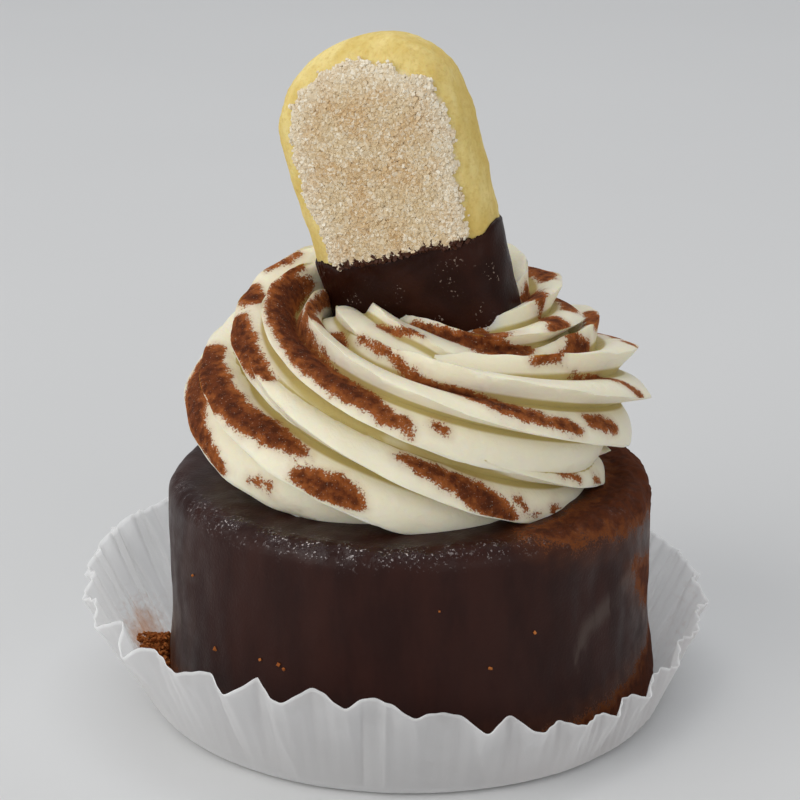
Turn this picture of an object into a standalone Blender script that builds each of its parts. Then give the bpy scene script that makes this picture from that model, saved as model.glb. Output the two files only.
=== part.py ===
"""A small charlotte cake: a chocolate-coated round cake in a pleated paper case, topped with a piped
swirl of cream and a sugared ladyfinger whose lower end is dipped in dark chocolate.

The origin is on the table under the middle of the cake, +Z is up, and the cake's front faces -Y.
Sizes are in millimetres and are turned into metres as each mesh is made.
"""

import math

import bmesh
import bpy
import numpy as np

MM = 0.001
GAP = 0.3

# Paper case: a flat disc with a pleated wall that has been pushed open by the cake.
PAPER_THICKNESS = 0.35
CASE_CENTRE = (-0.5, -0.8)
CASE_BASE_RADIUS = 38.4
CASE_BOTTOM_BEND, CASE_BEND_RISE = 2.0, 0.12
PLEATS = 32
POINTS_PER_PLEAT = 6
# Rim of the wall round the case: azimuth in degrees, radius, height, depth of the pleats.
RIM = (
    (-180, 48.3, 17.6, 1.5),
    (-135, 45.8, 16.4, 1.2),
    (-100, 43.2, 16.2, 0.8),
    (-72, 43.0, 12.0, 0.8),
    (-50, 42.4, 9.2, 0.8),
    (-15, 43.2, 12.2, 1.2),
    (10, 46.0, 13.0, 1.5),
    (55, 47.0, 16.0, 1.7),
    (100, 46.5, 18.0, 1.8),
    (140, 48.0, 19.0, 1.7),
)
PLEAT_DIP = 0.07

# Cake: a squat drum with a rounded shoulder, a slight waist and a foot where the coating has run.
CAKE_BOTTOM = PAPER_THICKNESS + GAP
CAKE_TOP = 34.3
CAKE_TOP_RADIUS = 35.4
CAKE_FOOT_RADIUS = 37.3
CAKE_SHOULDER = 3.2
CAKE_FOOT_HEIGHT = 16.0
CAKE_TUCK, CAKE_TUCK_HEIGHT = 1.4, 2.2
CAKE_SIDES = 56
DENT_AZIMUTH, DENT_HEIGHT, DENT_RADIUS, DENT_DEPTH = -44.0, 25.0, 4.2, 0.9

# Cream: a rope with eight ridges, piped clockwise from the right. Its path, turn by turn:
# turns made, radius of the path, height above the cake, half the rope's thickness, centre x.
CREAM_BOTTOM = CAKE_TOP + GAP
ROPE_START = -5.0
ROPE_PATH = (
    (0.00, 24.0, 2.2, 5.0, 0.5),
    (0.12, 21.8, 4.2, 8.6, 0.4),
    (0.30, 20.6, 8.1, 11.0, 0.6),
    (0.50, 21.4, 10.2, 12.0, 0.0),
    (0.75, 22.6, 11.8, 11.0, 0.0),
    (1.00, 23.7, 11.9, 9.9, 1.5),
    (1.25, 20.6, 14.6, 8.8, 2.4),
    (1.50, 19.0, 19.2, 9.0, 1.2),
    (1.75, 17.8, 22.4, 9.0, 0.0),
    (2.00, 17.2, 19.2, 7.8, 0.0),
    (2.12, 13.8, 17.0, 7.0, 0.0),
    (2.25, 11.0, 18.2, 7.5, 0.0),
    (2.40, 9.5, 18.4, 7.4, 0.0),
    (2.54, 8.0, 14.0, 4.5, 0.0),
)
ROPE_RIDGES = 8
RIDGE_DEPTH = 0.42
RIDGE_FADE_START, RIDGE_FADE_LENGTH, RIDGE_FADE = 1.95, 0.2, 0.5
RIDGE_TURN_START = 10.2
RIDGE_TURNS_PER_TURN = 0.96
# One ridge from its lip up to the next lip: share of the way, share of the ridge's depth.
RIDGE_SHAPE = ((0.0, 0.0), (0.3, 0.3), (0.6, 0.75), (0.82, 1.0))
ROPE_SPLITS = (0.82, 1.62)
ROPE_OVERLAP = 0.02
ROPE_STEPS_PER_TURN = 44
CORE_RADIUS, CORE_HEIGHT = 17.5, 20.0

# Ladyfinger: half a sponge finger, leaning to the left and turned to show its right side.
FINGER_FOOT = (5.4, 0.3, 46.5)
FINGER_LEAN_LEFT = 15.0
FINGER_LEAN_BACK = 1.5
FINGER_TURN = 22.0
FINGER_LENGTH = 52.8
FINGER_WIDTH_TOP = 29.8
FINGER_WIDTH_FOOT = 25.8
FINGER_THICKNESS = 14.0
FINGER_SQUARENESS = 2.8
FINGER_END = 15.0
FINGER_END_SLANT = 0.09
SUGAR_RAISE = 0.35
SUGAR_GRAIN = 0.3
SUGAR_SEED = 4

# Dark chocolate on the foot of the ladyfinger, a little proud of the sponge above it.
DIP_TOP = 23.3
DIP_WALL = 0.6
DIP_PROUD = 0.2
DIP_SLANT = 0.1
DIP_RAGGED = 0.45


def knots_at(place, table):
    """Smooth curve through the rows of a table: the first column is the place, the rest are values."""
    rows = np.array(table, float)
    places, values = rows[:, 0], rows[:, 1:]
    slopes = np.gradient(values, places, axis=0)
    i = np.clip(np.searchsorted(places, place) - 1, 0, len(places) - 2)
    span = (places[i + 1] - places[i])[:, None]
    s = (place - places[i])[:, None] / span
    start = (2 * s**3 - 3 * s**2 + 1) * values[i] + (s**3 - 2 * s**2 + s) * span * slopes[i]
    end = (3 * s**2 - 2 * s**3) * values[i + 1] + (s**3 - s**2) * span * slopes[i + 1]
    return start + end


def around(count):
    """Evenly spaced azimuths in radians, from -180 degrees."""
    return np.linspace(-math.pi, math.pi, count, endpoint=False)


def turned_ring(azimuth, radius, height):
    """A ring of points about the Z axis."""
    height = np.broadcast_to(height, azimuth.shape)
    return np.stack([radius * np.cos(azimuth), radius * np.sin(azimuth), height], axis=1)


def tube_faces(rows, columns):
    """Quads between rings of points, each ring closed on itself."""
    r, c = np.meshgrid(np.arange(rows - 1), np.arange(columns), indexing="ij")
    n = (c + 1) % columns
    quads = (r * columns + c, r * columns + n, (r + 1) * columns + n, (r + 1) * columns + c)
    return np.stack([q.ravel() for q in quads], axis=1).tolist()


def capped(rings):
    """Points and faces of rings of points, with a fan at each end, and all faces outward."""
    rows, columns = rings.shape[:2]
    points = np.concatenate([rings.reshape(-1, 3), [rings[0].mean(0), rings[-1].mean(0)]])
    faces = tube_faces(rows, columns)
    first, last = rows * columns, rows * columns + 1
    top = (rows - 1) * columns
    for a in range(columns):
        b = (a + 1) % columns
        faces.append([first, b, a])
        faces.append([last, top + a, top + b])
    corners = points[np.array([face[:3] for face in faces])]
    volume = np.einsum("ij,ij->i", corners[:, 0], np.cross(corners[:, 1], corners[:, 2])).sum()
    return points, faces if volume > 0 else [face[::-1] for face in faces]


def material(name, colour, roughness):
    made = bpy.data.materials.new(name)
    made.use_nodes = True
    shader = made.node_tree.nodes["Principled BSDF"]
    shader.inputs["Base Color"].default_value = (*colour, 1.0)
    shader.inputs["Roughness"].default_value = roughness
    shader.inputs["Metallic"].default_value = 0.0
    return made


def add_object(name, points, faces, place=(0.0, 0.0, 0.0), parent=None, finish=None):
    """A smooth-shaded object from points in millimetres, placed in its parent's frame."""
    mesh = bpy.data.meshes.new(name)
    mesh.from_pydata((np.asarray(points) * MM).tolist(), [], faces)
    mesh.validate()
    mesh.shade_smooth()
    mesh.set_sharp_from_angle(angle=math.radians(40))
    made = bpy.data.objects.new(name, mesh)
    made.location = [MM * value for value in place]
    made.parent = parent
    bpy.context.scene.collection.objects.link(made)
    if finish:
        mesh.materials.append(finish)
    return made


def cake_radius(azimuth, height):
    """Radius of the cake's side, below its shoulder: a foot that is tucked in below, a waist and a dent."""
    rise = (height - CAKE_BOTTOM) / (CAKE_TOP - CAKE_BOTTOM)
    foot = np.clip(1 - (height - CAKE_BOTTOM) / CAKE_FOOT_HEIGHT, 0, 1) ** 1.5
    radius = CAKE_TOP_RADIUS + 0.5 * (1 - rise) + (CAKE_FOOT_RADIUS - CAKE_TOP_RADIUS - 0.5) * foot
    radius = radius + 0.25 * np.sin(2 * azimuth + 0.6) + 0.18 * np.sin(5 * azimuth + 5 * rise)
    radius = radius - 0.5 * np.exp(-((azimuth / 0.5) ** 2) - ((height - 12.0) / 6.0) ** 2)
    across = (azimuth - math.radians(DENT_AZIMUTH)) * CAKE_TOP_RADIUS
    dent = np.exp(-(across**2 + (height - DENT_HEIGHT) ** 2) / DENT_RADIUS**2)
    tuck = np.clip(1 - (height - CAKE_BOTTOM) / CAKE_TUCK_HEIGHT, 0, 1) ** 2
    return radius - DENT_DEPTH * dent - CAKE_TUCK * tuck


def cake(parent):
    """The coated cake: rings up the side, round the shoulder and in over the top."""
    azimuth = around(CAKE_SIDES)
    shoulder = CAKE_TOP - CAKE_SHOULDER
    levels = (CAKE_BOTTOM, 1.5, 3.5, 7.5, 13.0, 19.0, 22.0, 25.0, 28.0, shoulder)
    rings = [turned_ring(azimuth, cake_radius(azimuth, level), level) for level in levels]
    side = cake_radius(azimuth, shoulder)
    for bend in np.radians([35, 65, 90]):
        drawn_in = side - CAKE_SHOULDER * (1 - math.cos(bend))
        rings.append(turned_ring(azimuth, drawn_in, shoulder + CAKE_SHOULDER * math.sin(bend)))
    points, faces = capped(np.array(rings))
    finish = material("chocolate_coating", (0.045, 0.021, 0.015), 0.35)
    return add_object("cake", points, faces, parent=parent, finish=finish)


def case_rings():
    """The paper's outer face as rings, from the base's edge to the rim.

    Each pleat is one wave of the wall, deeper towards the rim, and the pleats differ in width.
    """
    phase = 2 * math.pi * np.arange(PLEATS * POINTS_PER_PLEAT) / POINTS_PER_PLEAT
    azimuth = phase / PLEATS - math.pi
    azimuth = azimuth + 0.035 * np.sin(3 * azimuth) + 0.03 * np.sin(5 * azimuth + 1.0)
    wrapped = [(a - 360, *rest) for a, *rest in RIM[-2:]] + list(RIM)
    wrapped += [(a + 360, *rest) for a, *rest in RIM[:2]]
    rim_radius, rim_height, depth = knots_at(np.degrees(azimuth), wrapped).T
    pleat = np.cos(phase)
    uneven = 1 + 0.35 * np.sin(9 * azimuth + 0.5) + 0.25 * np.sin(14 * azimuth)
    rings = []
    for rise in (0.0, 0.03, CASE_BEND_RISE, 0.5, 1.0):
        below = max(1 - rise / CASE_BEND_RISE, 0)
        bend = CASE_BOTTOM_BEND * (1 - math.sqrt(1 - below**2))
        radius = CASE_BASE_RADIUS - bend + (rim_radius - CASE_BASE_RADIUS) * rise
        radius = radius + depth * uneven * rise**0.8 * pleat
        height = rim_height * rise * (1 - PLEAT_DIP * uneven * rise * pleat)
        rings.append(turned_ring(azimuth, radius, height))
    return np.array(rings)


def paper_case(parent):
    """The case: one sheet of paper, thickened inwards so that its underside stays flat."""
    rings = case_rings()
    rows, columns = rings.shape[:2]
    points = np.concatenate([rings.reshape(-1, 3), [[0.0, 0.0, 0.0]]])
    faces = tube_faces(rows, columns)
    faces += [[rows * columns, (a + 1) % columns, a] for a in range(columns)]
    finish = material("white_paper", (0.8, 0.8, 0.78), 0.7)
    case = add_object("paper_case", points, faces, (*CASE_CENTRE, 0.0), parent, finish)
    sheet = case.modifiers.new("thickness", "SOLIDIFY")
    sheet.thickness = PAPER_THICKNESS * MM
    sheet.offset = -1.0
    return case


def rope_middle(turn):
    """Middle of the rope, and half its thickness, after so many turns."""
    radius, height, thickness, centre_x = knots_at(turn, ROPE_PATH).T
    azimuth = math.radians(ROPE_START) - 2 * math.pi * turn
    middle = np.stack([centre_x + radius * np.cos(azimuth), radius * np.sin(azimuth), height], axis=1)
    return middle, thickness


def rope_rings(turn, scale):
    """Rings of the rope: a star of leaning ridges, carried along the path.

    The nozzle isn't turned as it goes round, so the star turns about once round the rope in each turn.
    The ridges fade in the last turn, where the ladyfinger has pushed the cream together.
    """
    step = 1e-3
    middle, thickness = rope_middle(turn)
    along = rope_middle(turn + step)[0] - rope_middle(turn - step)[0]
    along /= np.linalg.norm(along, axis=1)[:, None]
    up = np.array([0.0, 0.0, 1.0]) - along * along[:, 2:3]
    up /= np.linalg.norm(up, axis=1)[:, None]
    outward = np.cross(up, along)
    share, depth = np.array(RIDGE_SHAPE).T
    ridge = (np.arange(ROPE_RIDGES)[:, None] + share).ravel() * 2 * math.pi / ROPE_RIDGES
    fade = 1 - RIDGE_FADE * np.clip((turn - RIDGE_FADE_START) / RIDGE_FADE_LENGTH, 0, 1)
    star = 1 - RIDGE_DEPTH * fade[:, None] * np.tile(depth, ROPE_RIDGES)[None, :]
    turned = math.radians(RIDGE_TURN_START) + 2 * math.pi * RIDGE_TURNS_PER_TURN * turn
    angle = turned[:, None] + ridge[None, :]
    radius = (thickness * scale)[:, None] * star
    across = outward[:, None, :] * (radius * np.cos(angle))[:, :, None]
    rise = up[:, None, :] * (radius * np.sin(angle))[:, :, None]
    return middle[:, None, :] + across + rise


def rope_length(name, start, end, tuck_start, tuck_end, parent):
    """One length of the rope. A tucked end shrinks inside its neighbour, so that the two join cleanly."""
    start -= ROPE_OVERLAP * tuck_start
    end += ROPE_OVERLAP * tuck_end
    turn = np.linspace(start, end, int(round((end - start) * ROPE_STEPS_PER_TURN)) + 1)
    scale = np.ones_like(turn)
    if tuck_start:
        scale[0], scale[1] = 0.8, 1.01
    if tuck_end:
        scale[-1] = 0.8
    points, faces = capped(rope_rings(turn, scale))
    return add_object(name, points, faces, (0, 0, CREAM_BOTTOM), parent)


def core(parent):
    """Cream in the middle of the swirl, which the turns of the rope close over."""
    azimuth = around(24)
    profile = ((1.0, -0.1), (1.0, 0.85), (0.9, 0.95), (0.5, 1.0))
    rings = [turned_ring(azimuth, CORE_RADIUS * r, CORE_HEIGHT * z) for r, z in profile]
    points, faces = capped(np.array(rings))
    return add_object("core", points, faces, (0, 0, CREAM_BOTTOM), parent)


def slab(parent):
    """A block under the cream's flat base, to cut off what the cake's top presses flat."""
    half, deep = 45.0, 16.0
    corners = [(-half, -half), (half, -half), (half, half), (-half, half)]
    points = [(x, y, z) for z in (-deep, 0.0) for x, y in corners]
    faces = [[3, 2, 1, 0], [4, 5, 6, 7], [0, 1, 5, 4], [1, 2, 6, 5], [2, 3, 7, 6], [3, 0, 4, 7]]
    return add_object("slab", points, faces, (0, 0, CREAM_BOTTOM), parent)


def boolean(target, operation, others):
    """Applies one Boolean with a collection of objects, then removes those objects."""
    tools = bpy.data.collections.new("tools")
    bpy.context.scene.collection.children.link(tools)
    for other in others:
        tools.objects.link(other)
        bpy.context.scene.collection.objects.unlink(other)
    cut = target.modifiers.new(operation, "BOOLEAN")
    cut.operation = operation
    cut.operand_type = "COLLECTION"
    cut.collection = tools
    cut.solver = "MANIFOLD"
    bpy.context.view_layer.update()
    with bpy.context.temp_override(object=target, active_object=target):
        bpy.ops.object.modifier_apply(modifier=cut.name)
    for other in others:
        bpy.data.objects.remove(other)
    bpy.data.collections.remove(tools)


def fill_voids(target):
    """Keeps only the largest shell: the others bound small voids left between the rope's turns."""
    work = bmesh.new()
    work.from_mesh(target.data)
    bmesh.ops.triangulate(work, faces=work.faces)
    bmesh.ops.remove_doubles(work, verts=work.verts, dist=0.02 * MM)
    touching = [edge for edge in work.edges if len(edge.link_faces) > 2]
    bmesh.ops.split_edges(work, edges=touching)
    unseen = set(work.faces)
    shells = []
    while unseen:
        shell, queue = [], [unseen.pop()]
        while queue:
            face = queue.pop()
            shell.append(face)
            near = {other for edge in face.edges for other in edge.link_faces} & unseen
            queue += near
            unseen -= near
        shells.append(shell)
    shells.sort(key=len)
    for shell in shells[:-1]:
        bmesh.ops.delete(work, geom=shell, context="FACES")
    bmesh.ops.remove_doubles(work, verts=work.verts, dist=1e-8)
    work.to_mesh(target.data)
    work.free()


def cream_swirl(parent):
    """The swirl: lengths of rope and the core joined, flat below, with a pocket for the ladyfinger."""
    first, second = ROPE_SPLITS
    swirl = rope_length("cream_swirl", ROPE_PATH[0][0], first, False, True, parent)
    middle = rope_length("rope_middle", first, second, True, True, parent)
    last = rope_length("rope_last", second, ROPE_PATH[-1][0], True, False, parent)
    boolean(swirl, "UNION", [middle, last, core(parent)])
    fill_voids(swirl)
    boolean(swirl, "DIFFERENCE", [slab(parent), pocket(parent)])
    fill_voids(swirl)
    swirl.data.materials.clear()
    swirl.data.materials.append(material("whipped_cream", (0.86, 0.8, 0.6), 0.45))
    return swirl


def finger_skin(station, angle, grow=0.0, raised=0.0):
    """Points on the ladyfinger's skin, or a distance outside it, in its own upright frame.

    station runs up the ladyfinger and angle round it, with the sugared face at 90 degrees, towards -Y.
    The section is a squared oval, and the upper end closes in a dome that is fuller on the right.
    """
    station, angle, grow, raised = np.broadcast_arrays(station, angle, grow, raised)
    share = np.clip(station / FINGER_LENGTH, 0, 1)
    width = FINGER_WIDTH_FOOT + (FINGER_WIDTH_TOP - FINGER_WIDTH_FOOT) * np.sin(0.5 * math.pi * share)
    past = np.clip((station - (FINGER_LENGTH - FINGER_END)) / (FINGER_END + grow), 0, 1)
    half_width = (0.5 * width + grow) * (1 - past**2.4) ** 0.45
    half_depth = (0.5 * FINGER_THICKNESS + grow) * np.sqrt(1 - past**3)
    power = 2 / FINGER_SQUARENESS
    side = np.sign(np.cos(angle)) * np.abs(np.cos(angle)) ** power
    front = np.sign(np.sin(angle)) * np.abs(np.sin(angle)) ** power
    x = half_width * side
    return np.stack([x, -(half_depth * front + raised), station + FINGER_END_SLANT * x * past], axis=-1)


def place_finger(made):
    """Stands a piece made in the ladyfinger's frame in its place in the cream."""
    made.location = [MM * value for value in FINGER_FOOT]
    made.rotation_mode = "ZYX"
    made.rotation_euler = [math.radians(-a) for a in (FINGER_LEAN_BACK, FINGER_LEAN_LEFT, FINGER_TURN)]
    return made


def dip_edge(angle):
    """Where the chocolate ends, measured up the ladyfinger: nearly square across, a little ragged."""
    ragged = 0.6 * np.sin(5 * angle + 1) + 0.4 * np.sin(11 * angle)
    return DIP_TOP + DIP_SLANT * np.cos(angle) + DIP_RAGGED * ragged


def sugar_height(station, angle):
    """Height of the sugar crust: rough grains over the front face, above the chocolate."""
    grains = np.random.default_rng(SUGAR_SEED).uniform(-1, 1, station.shape)
    front = np.clip((np.sin(angle) - 0.45) / 0.25, 0, 1)
    low = np.clip((station - dip_edge(angle) - 1.0) / 0.8, 0, 1)
    high = np.clip((FINGER_LENGTH - 4.5 - station) / 1.5, 0, 1)
    return low * high * front * (SUGAR_RAISE + SUGAR_GRAIN * grains)


def ladyfinger(parent):
    """The sponge finger, with its sugar crust as rough relief, and slimmer where it is dipped."""
    front = np.linspace(0.12 * math.pi, 0.88 * math.pi, 18)
    back = np.linspace(0.88 * math.pi, 2.12 * math.pi, 14)[1:-1]
    angle = np.concatenate([front, back])
    slim = DIP_PROUD - GAP - DIP_WALL
    edge = dip_edge(angle)
    dipped = [finger_skin(s, angle, slim) for s in (0.0, 0.5 * DIP_TOP)]
    step = [finger_skin(edge - 0.2, angle, slim), finger_skin(edge + GAP, angle)]
    crust = np.linspace(DIP_TOP + 2.0, FINGER_LENGTH - 3.5, 16)
    stations = np.concatenate([crust, FINGER_LENGTH - np.array([1.6, 0.5, 0.05])])
    station, around_it = np.meshgrid(stations, angle, indexing="ij")
    skin = finger_skin(station, around_it, 0.0, sugar_height(station, around_it))
    points, faces = capped(np.concatenate([dipped, step, skin]))
    finish = material("sponge_and_sugar", (0.83, 0.66, 0.3), 0.8)
    return place_finger(add_object("ladyfinger", points, faces, parent=parent, finish=finish))


def chocolate_dip(finger):
    """A thin cup of chocolate round the foot of the ladyfinger, open at the top."""
    angle = np.linspace(0, 2 * math.pi, 30, endpoint=False)
    inner = DIP_PROUD - DIP_WALL
    edge = dip_edge(angle)
    floor = finger_skin(0.0, angle, inner) - np.array([0.0, 0.0, GAP + DIP_WALL])
    outside = [finger_skin(edge * level, angle, DIP_PROUD) for level in (0.0, 0.5, 0.985)]
    lip = finger_skin(edge, angle, 0.5 * (inner + DIP_PROUD))
    inside = [finger_skin(edge * level, angle, inner) for level in (0.985, 0.5)]
    ground = finger_skin(0.0, angle, inner) - np.array([0.0, 0.0, GAP])
    points, faces = capped(np.array([floor, *outside, lip, *inside, ground]))
    finish = material("dark_chocolate", (0.035, 0.016, 0.011), 0.3)
    return add_object("chocolate_dip", points, faces, parent=finger, finish=finish)


def pocket(parent):
    """The room that the dipped foot takes in the cream, a gap wider than the chocolate."""
    angle = np.linspace(0, 2 * math.pi, 24, endpoint=False)
    stations = np.array([-2 * GAP - DIP_WALL, 0.0, DIP_TOP])
    points, faces = capped(finger_skin(stations[:, None], angle[None, :], DIP_PROUD + GAP))
    return place_finger(add_object("pocket", points, faces, parent=parent))


def main():
    for old in list(bpy.data.objects):
        bpy.data.objects.remove(old)
    whole = bpy.data.objects.new("charlotte", None)
    bpy.context.scene.collection.objects.link(whole)
    paper_case(whole)
    cake(whole)
    cream_swirl(whole)
    chocolate_dip(ladyfinger(whole))


main()
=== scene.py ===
"""Looks of a small charlotte cake: a chocolate-coated round cake in a pleated paper case, topped with a
piped swirl of whipped cream and a sugared ladyfinger whose foot is dipped in dark chocolate.

Lengths are in millimetres until a mesh is made. The cake stands on the table at the origin, +Z is up,
and its front faces -Y.
"""

import math

import bpy
import numpy as np
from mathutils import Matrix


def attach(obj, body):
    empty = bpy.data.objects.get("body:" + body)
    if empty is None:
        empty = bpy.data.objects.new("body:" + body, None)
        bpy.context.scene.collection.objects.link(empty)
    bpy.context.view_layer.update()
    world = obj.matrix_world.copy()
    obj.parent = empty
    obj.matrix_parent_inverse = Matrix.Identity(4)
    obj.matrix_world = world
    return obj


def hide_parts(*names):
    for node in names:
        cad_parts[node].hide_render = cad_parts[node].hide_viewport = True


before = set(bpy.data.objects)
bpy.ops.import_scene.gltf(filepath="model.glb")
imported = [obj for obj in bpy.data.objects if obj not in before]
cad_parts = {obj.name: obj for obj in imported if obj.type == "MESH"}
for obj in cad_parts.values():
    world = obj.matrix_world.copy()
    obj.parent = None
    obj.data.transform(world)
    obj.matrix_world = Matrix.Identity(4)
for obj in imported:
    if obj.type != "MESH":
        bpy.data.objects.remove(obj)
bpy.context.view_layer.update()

# Paper case: one disc of thin white baking paper, pressed into pleats. The cake has pushed its wall
# open: in front the wall stands almost upright with its pleats ironed flat, at the sides it flares.
MM = 0.001
CASE_CENTRE = (-0.5, -0.8)
CASE_BASE_RADIUS = 38.4
CASE_BOTTOM_BEND, CASE_BEND_RISE = 2.0, 0.12
PAPER_THICKNESS = 0.12
PLEATS = 32
POINTS_PER_PLEAT = 28
BASE_ROWS, BEND_ROWS, WALL_ROWS = 6, 8, 24
# How the pleats' places and depths vary: rows of waves round the case, height, phase.
PLEAT_PLACES = ((3, 0.035, 0.0), (5, 0.03, 1.0))
PLEAT_DEPTHS = ((9, 0.35, 0.5), (14, 0.25, 0.0))
PLEAT_ROUNDED, PLEAT_FOLDED = 0.55, 0.45
# Share of its depth that a pleat shows, and how late it deepens up the wall, where pleated and where ironed.
PLEAT_SHARES = (0.5, 0.9)
PLEAT_POWERS = (0.8, 3.2)
# The rim's ups and downs: their share of the wall's height, how pointed they are and how that varies.
PLEAT_DIP = 0.055
NOTCH_POWER, NOTCH_WAVES = 1.6, 7
FINE_PLEATS = 4
FINE_DEPTHS = (0.30, 0.06)
FINE_POWER = 0.6
FINE_DIP = 0.05
RIM_PULL = 0.3
# Rim of the wall round the case: azimuth in degrees, radius, height, depth of the pleats.
RIM = (
    (-180, 48.3, 17.6, 1.5),
    (-135, 45.8, 16.4, 1.2),
    (-100, 43.2, 16.2, 0.8),
    (-72, 43.0, 12.0, 0.8),
    (-50, 42.4, 9.2, 0.8),
    (-15, 43.2, 12.2, 1.2),
    (10, 46.0, 13.0, 1.5),
    (55, 47.0, 16.0, 1.7),
    (100, 46.5, 18.0, 1.8),
    (140, 48.0, 19.0, 1.7),
)
IRONED_AZIMUTH, IRONED_WIDTH = -98.0, 66.0
# Creases in the smooth front: azimuth at the foot and at the rim, depth, and half width, angles in degrees.
CREASES = (
    (-124.6, -128.0, 0.60, 2.8),
    (-112.0, -116.5, -0.35, 2.2),
    (-99.4, -98.5, 0.58, 2.4),
    (-95.0, -94.0, -0.40, 2.0),
    (-86.0, -84.0, 0.24, 2.6),
    (-74.0, -78.5, 0.42, 2.6),
    (-57.0, -55.0, -0.35, 3.0),
    (-46.0, -43.0, 0.45, 3.0),
)
# Share of the wall's height over which the creases begin.
CREASE_START = 0.25
# Crumpled paper: rows of height, size and seed.
CRUMPLES = ((0.22, 9.0, 11), (0.10, 4.0, 12))
# Stains of fallen cocoa inside the case: x, y and reach. The left one is strong and fades up the wall.
LEFT_STAIN, RIGHT_STAIN = (-42.0, 5.0, 8.0), (43.0, 5.0, 9.0)
LEFT_STRENGTH, RIGHT_STRENGTH = 1.15, 0.25
STAIN_FADE_START, STAIN_FADE_LENGTH = 5.6, 7.0
PAPER_SHADE = (0.84, 0.845, 0.85, 1)
PAPER_LIGHT = (0.90, 0.90, 0.905, 1)
PAPER_STAINED = (0.42, 0.16, 0.06, 1)


def knots_at(place, table):
    """Smooth curve through the rows of a table: the first column is the place, the rest are values."""
    rows = np.array(table, float)
    places, values = rows[:, 0], rows[:, 1:]
    slopes = np.gradient(values, places, axis=0)
    i = np.clip(np.searchsorted(places, place) - 1, 0, len(places) - 2)
    span = (places[i + 1] - places[i])[..., None]
    s = (place - places[i])[..., None] / span
    start = (2 * s**3 - 3 * s**2 + 1) * values[i] + (s**3 - 2 * s**2 + s) * span * slopes[i]
    end = (3 * s**2 - 2 * s**3) * values[i + 1] + (s**3 - s**2) * span * slopes[i + 1]
    return start + end


def ripples(points, size, seed, waves=28):
    """Smooth random relief between about -1 and 1: a sum of plane waves of about one length."""
    draw = np.random.default_rng(seed)
    ways = draw.normal(size=(waves, 3))
    ways *= (draw.uniform(0.7, 1.4, waves) / np.linalg.norm(ways, axis=1))[:, None]
    phase = draw.uniform(0, 2 * math.pi, waves)
    swing = np.sin(points.reshape(-1, 3) @ ways.T * (2 * math.pi / size) + phase)
    return (swing.sum(1) / math.sqrt(0.5 * waves)).reshape(points.shape[:-1]) * 0.6


def relief(points, rows):
    """Ripples added up, from rows of height, size and seed."""
    return sum(height * ripples(points, size, seed) for height, size, seed in rows)


def waves_round(angle, rows):
    """Sine waves added up, from rows of waves in a full turn, height and phase."""
    return sum(height * np.sin(count * angle + phase) for count, height, phase in rows)


def zigzag(phase, crisp=0.96):
    """A wave of straight slopes with slightly rounded folds, between -1 and 1."""
    return np.arcsin(crisp * np.sin(phase)) / math.asin(crisp)


def between(share, ends):
    """A value part of the way from the first end to the second."""
    return ends[0] + (ends[1] - ends[0]) * share


def grid_faces(rows, columns):
    """Quads between rows of points, each row closed on itself."""
    r, c = np.meshgrid(np.arange(rows - 1), np.arange(columns), indexing="ij")
    n = (c + 1) % columns
    quads = (r * columns + c, r * columns + n, (r + 1) * columns + n, (r + 1) * columns + c)
    return np.stack([q.ravel() for q in quads], axis=1)


def fan_faces(ring, centre, columns, flip):
    """Triangles from one ring of points to its centre."""
    a = np.arange(columns)
    b = (a + 1) % columns
    around = (ring + b, ring + a) if flip else (ring + a, ring + b)
    return np.stack([np.full(columns, centre), *around], axis=1)


def closed_skin(rings):
    """Points and faces of rows of rings with a fan at each end, turned so that all faces point out."""
    rows, columns = rings.shape[:2]
    points = np.concatenate([rings.reshape(-1, 3), [rings[0].mean(0), rings[-1].mean(0)]])
    count = rows * columns
    quads = grid_faces(rows, columns)
    fans = np.concatenate([
        fan_faces(0, count, columns, True),
        fan_faces(count - columns, count + 1, columns, False),
    ])
    corners = points[np.concatenate([quads[:, [0, 1, 2]], quads[:, [0, 2, 3]], fans])]
    volume = np.einsum("ij,ij->i", corners[:, 0], np.cross(corners[:, 1], corners[:, 2])).sum()
    if volume < 0:
        quads, fans = quads[:, ::-1], fans[:, ::-1]
    return points, quads.tolist() + fans.tolist()


def add_mesh(name, points, faces, sharp=180.0):
    """A smooth-shaded object at the origin, from points in millimetres."""
    mesh = bpy.data.meshes.new(name)
    mesh.from_pydata((np.asarray(points) * MM).tolist(), [], faces)
    mesh.validate()
    mesh.shade_smooth()
    mesh.set_sharp_from_angle(angle=math.radians(sharp))
    made = bpy.data.objects.new(name, mesh)
    bpy.context.scene.collection.objects.link(made)
    return made


def dress(piece, finish, node):
    """Gives a piece its material, hangs it under the root body, and hides the part at a node, in whose place
    it stands.
    """
    piece.data.materials.append(finish)
    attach(piece, "root")
    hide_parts(node)


def mark(piece, name, values):
    """Stores one number for each of the mesh's points, for its material to read."""
    layer = piece.data.attributes.new(name, "FLOAT", "POINT")
    layer.data.foreach_set("value", np.asarray(values, np.float32).ravel())


def add_node(tree, kind, inputs=None, **settings):
    """Adds a shader node, sets its properties, and fills or links its inputs by name or number."""
    node = tree.nodes.new(kind)
    for name, value in settings.items():
        setattr(node, name, value)
    for name, value in (inputs or {}).items():
        if isinstance(value, bpy.types.NodeSocket):
            tree.links.new(value, node.inputs[name])
        else:
            node.inputs[name].default_value = value
    return node


def start_material(name, **sockets):
    """A new Principled material with the numbers and colours that are the same all over."""
    made = bpy.data.materials.new(name)
    made.use_nodes = True
    shader = made.node_tree.nodes["Principled BSDF"]
    for socket, value in sockets.items():
        shader.inputs[socket.replace("_", " ")].default_value = value
    place = made.node_tree.nodes.new("ShaderNodeTexCoord").outputs["Object"]
    return made, made.node_tree, shader, place


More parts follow.
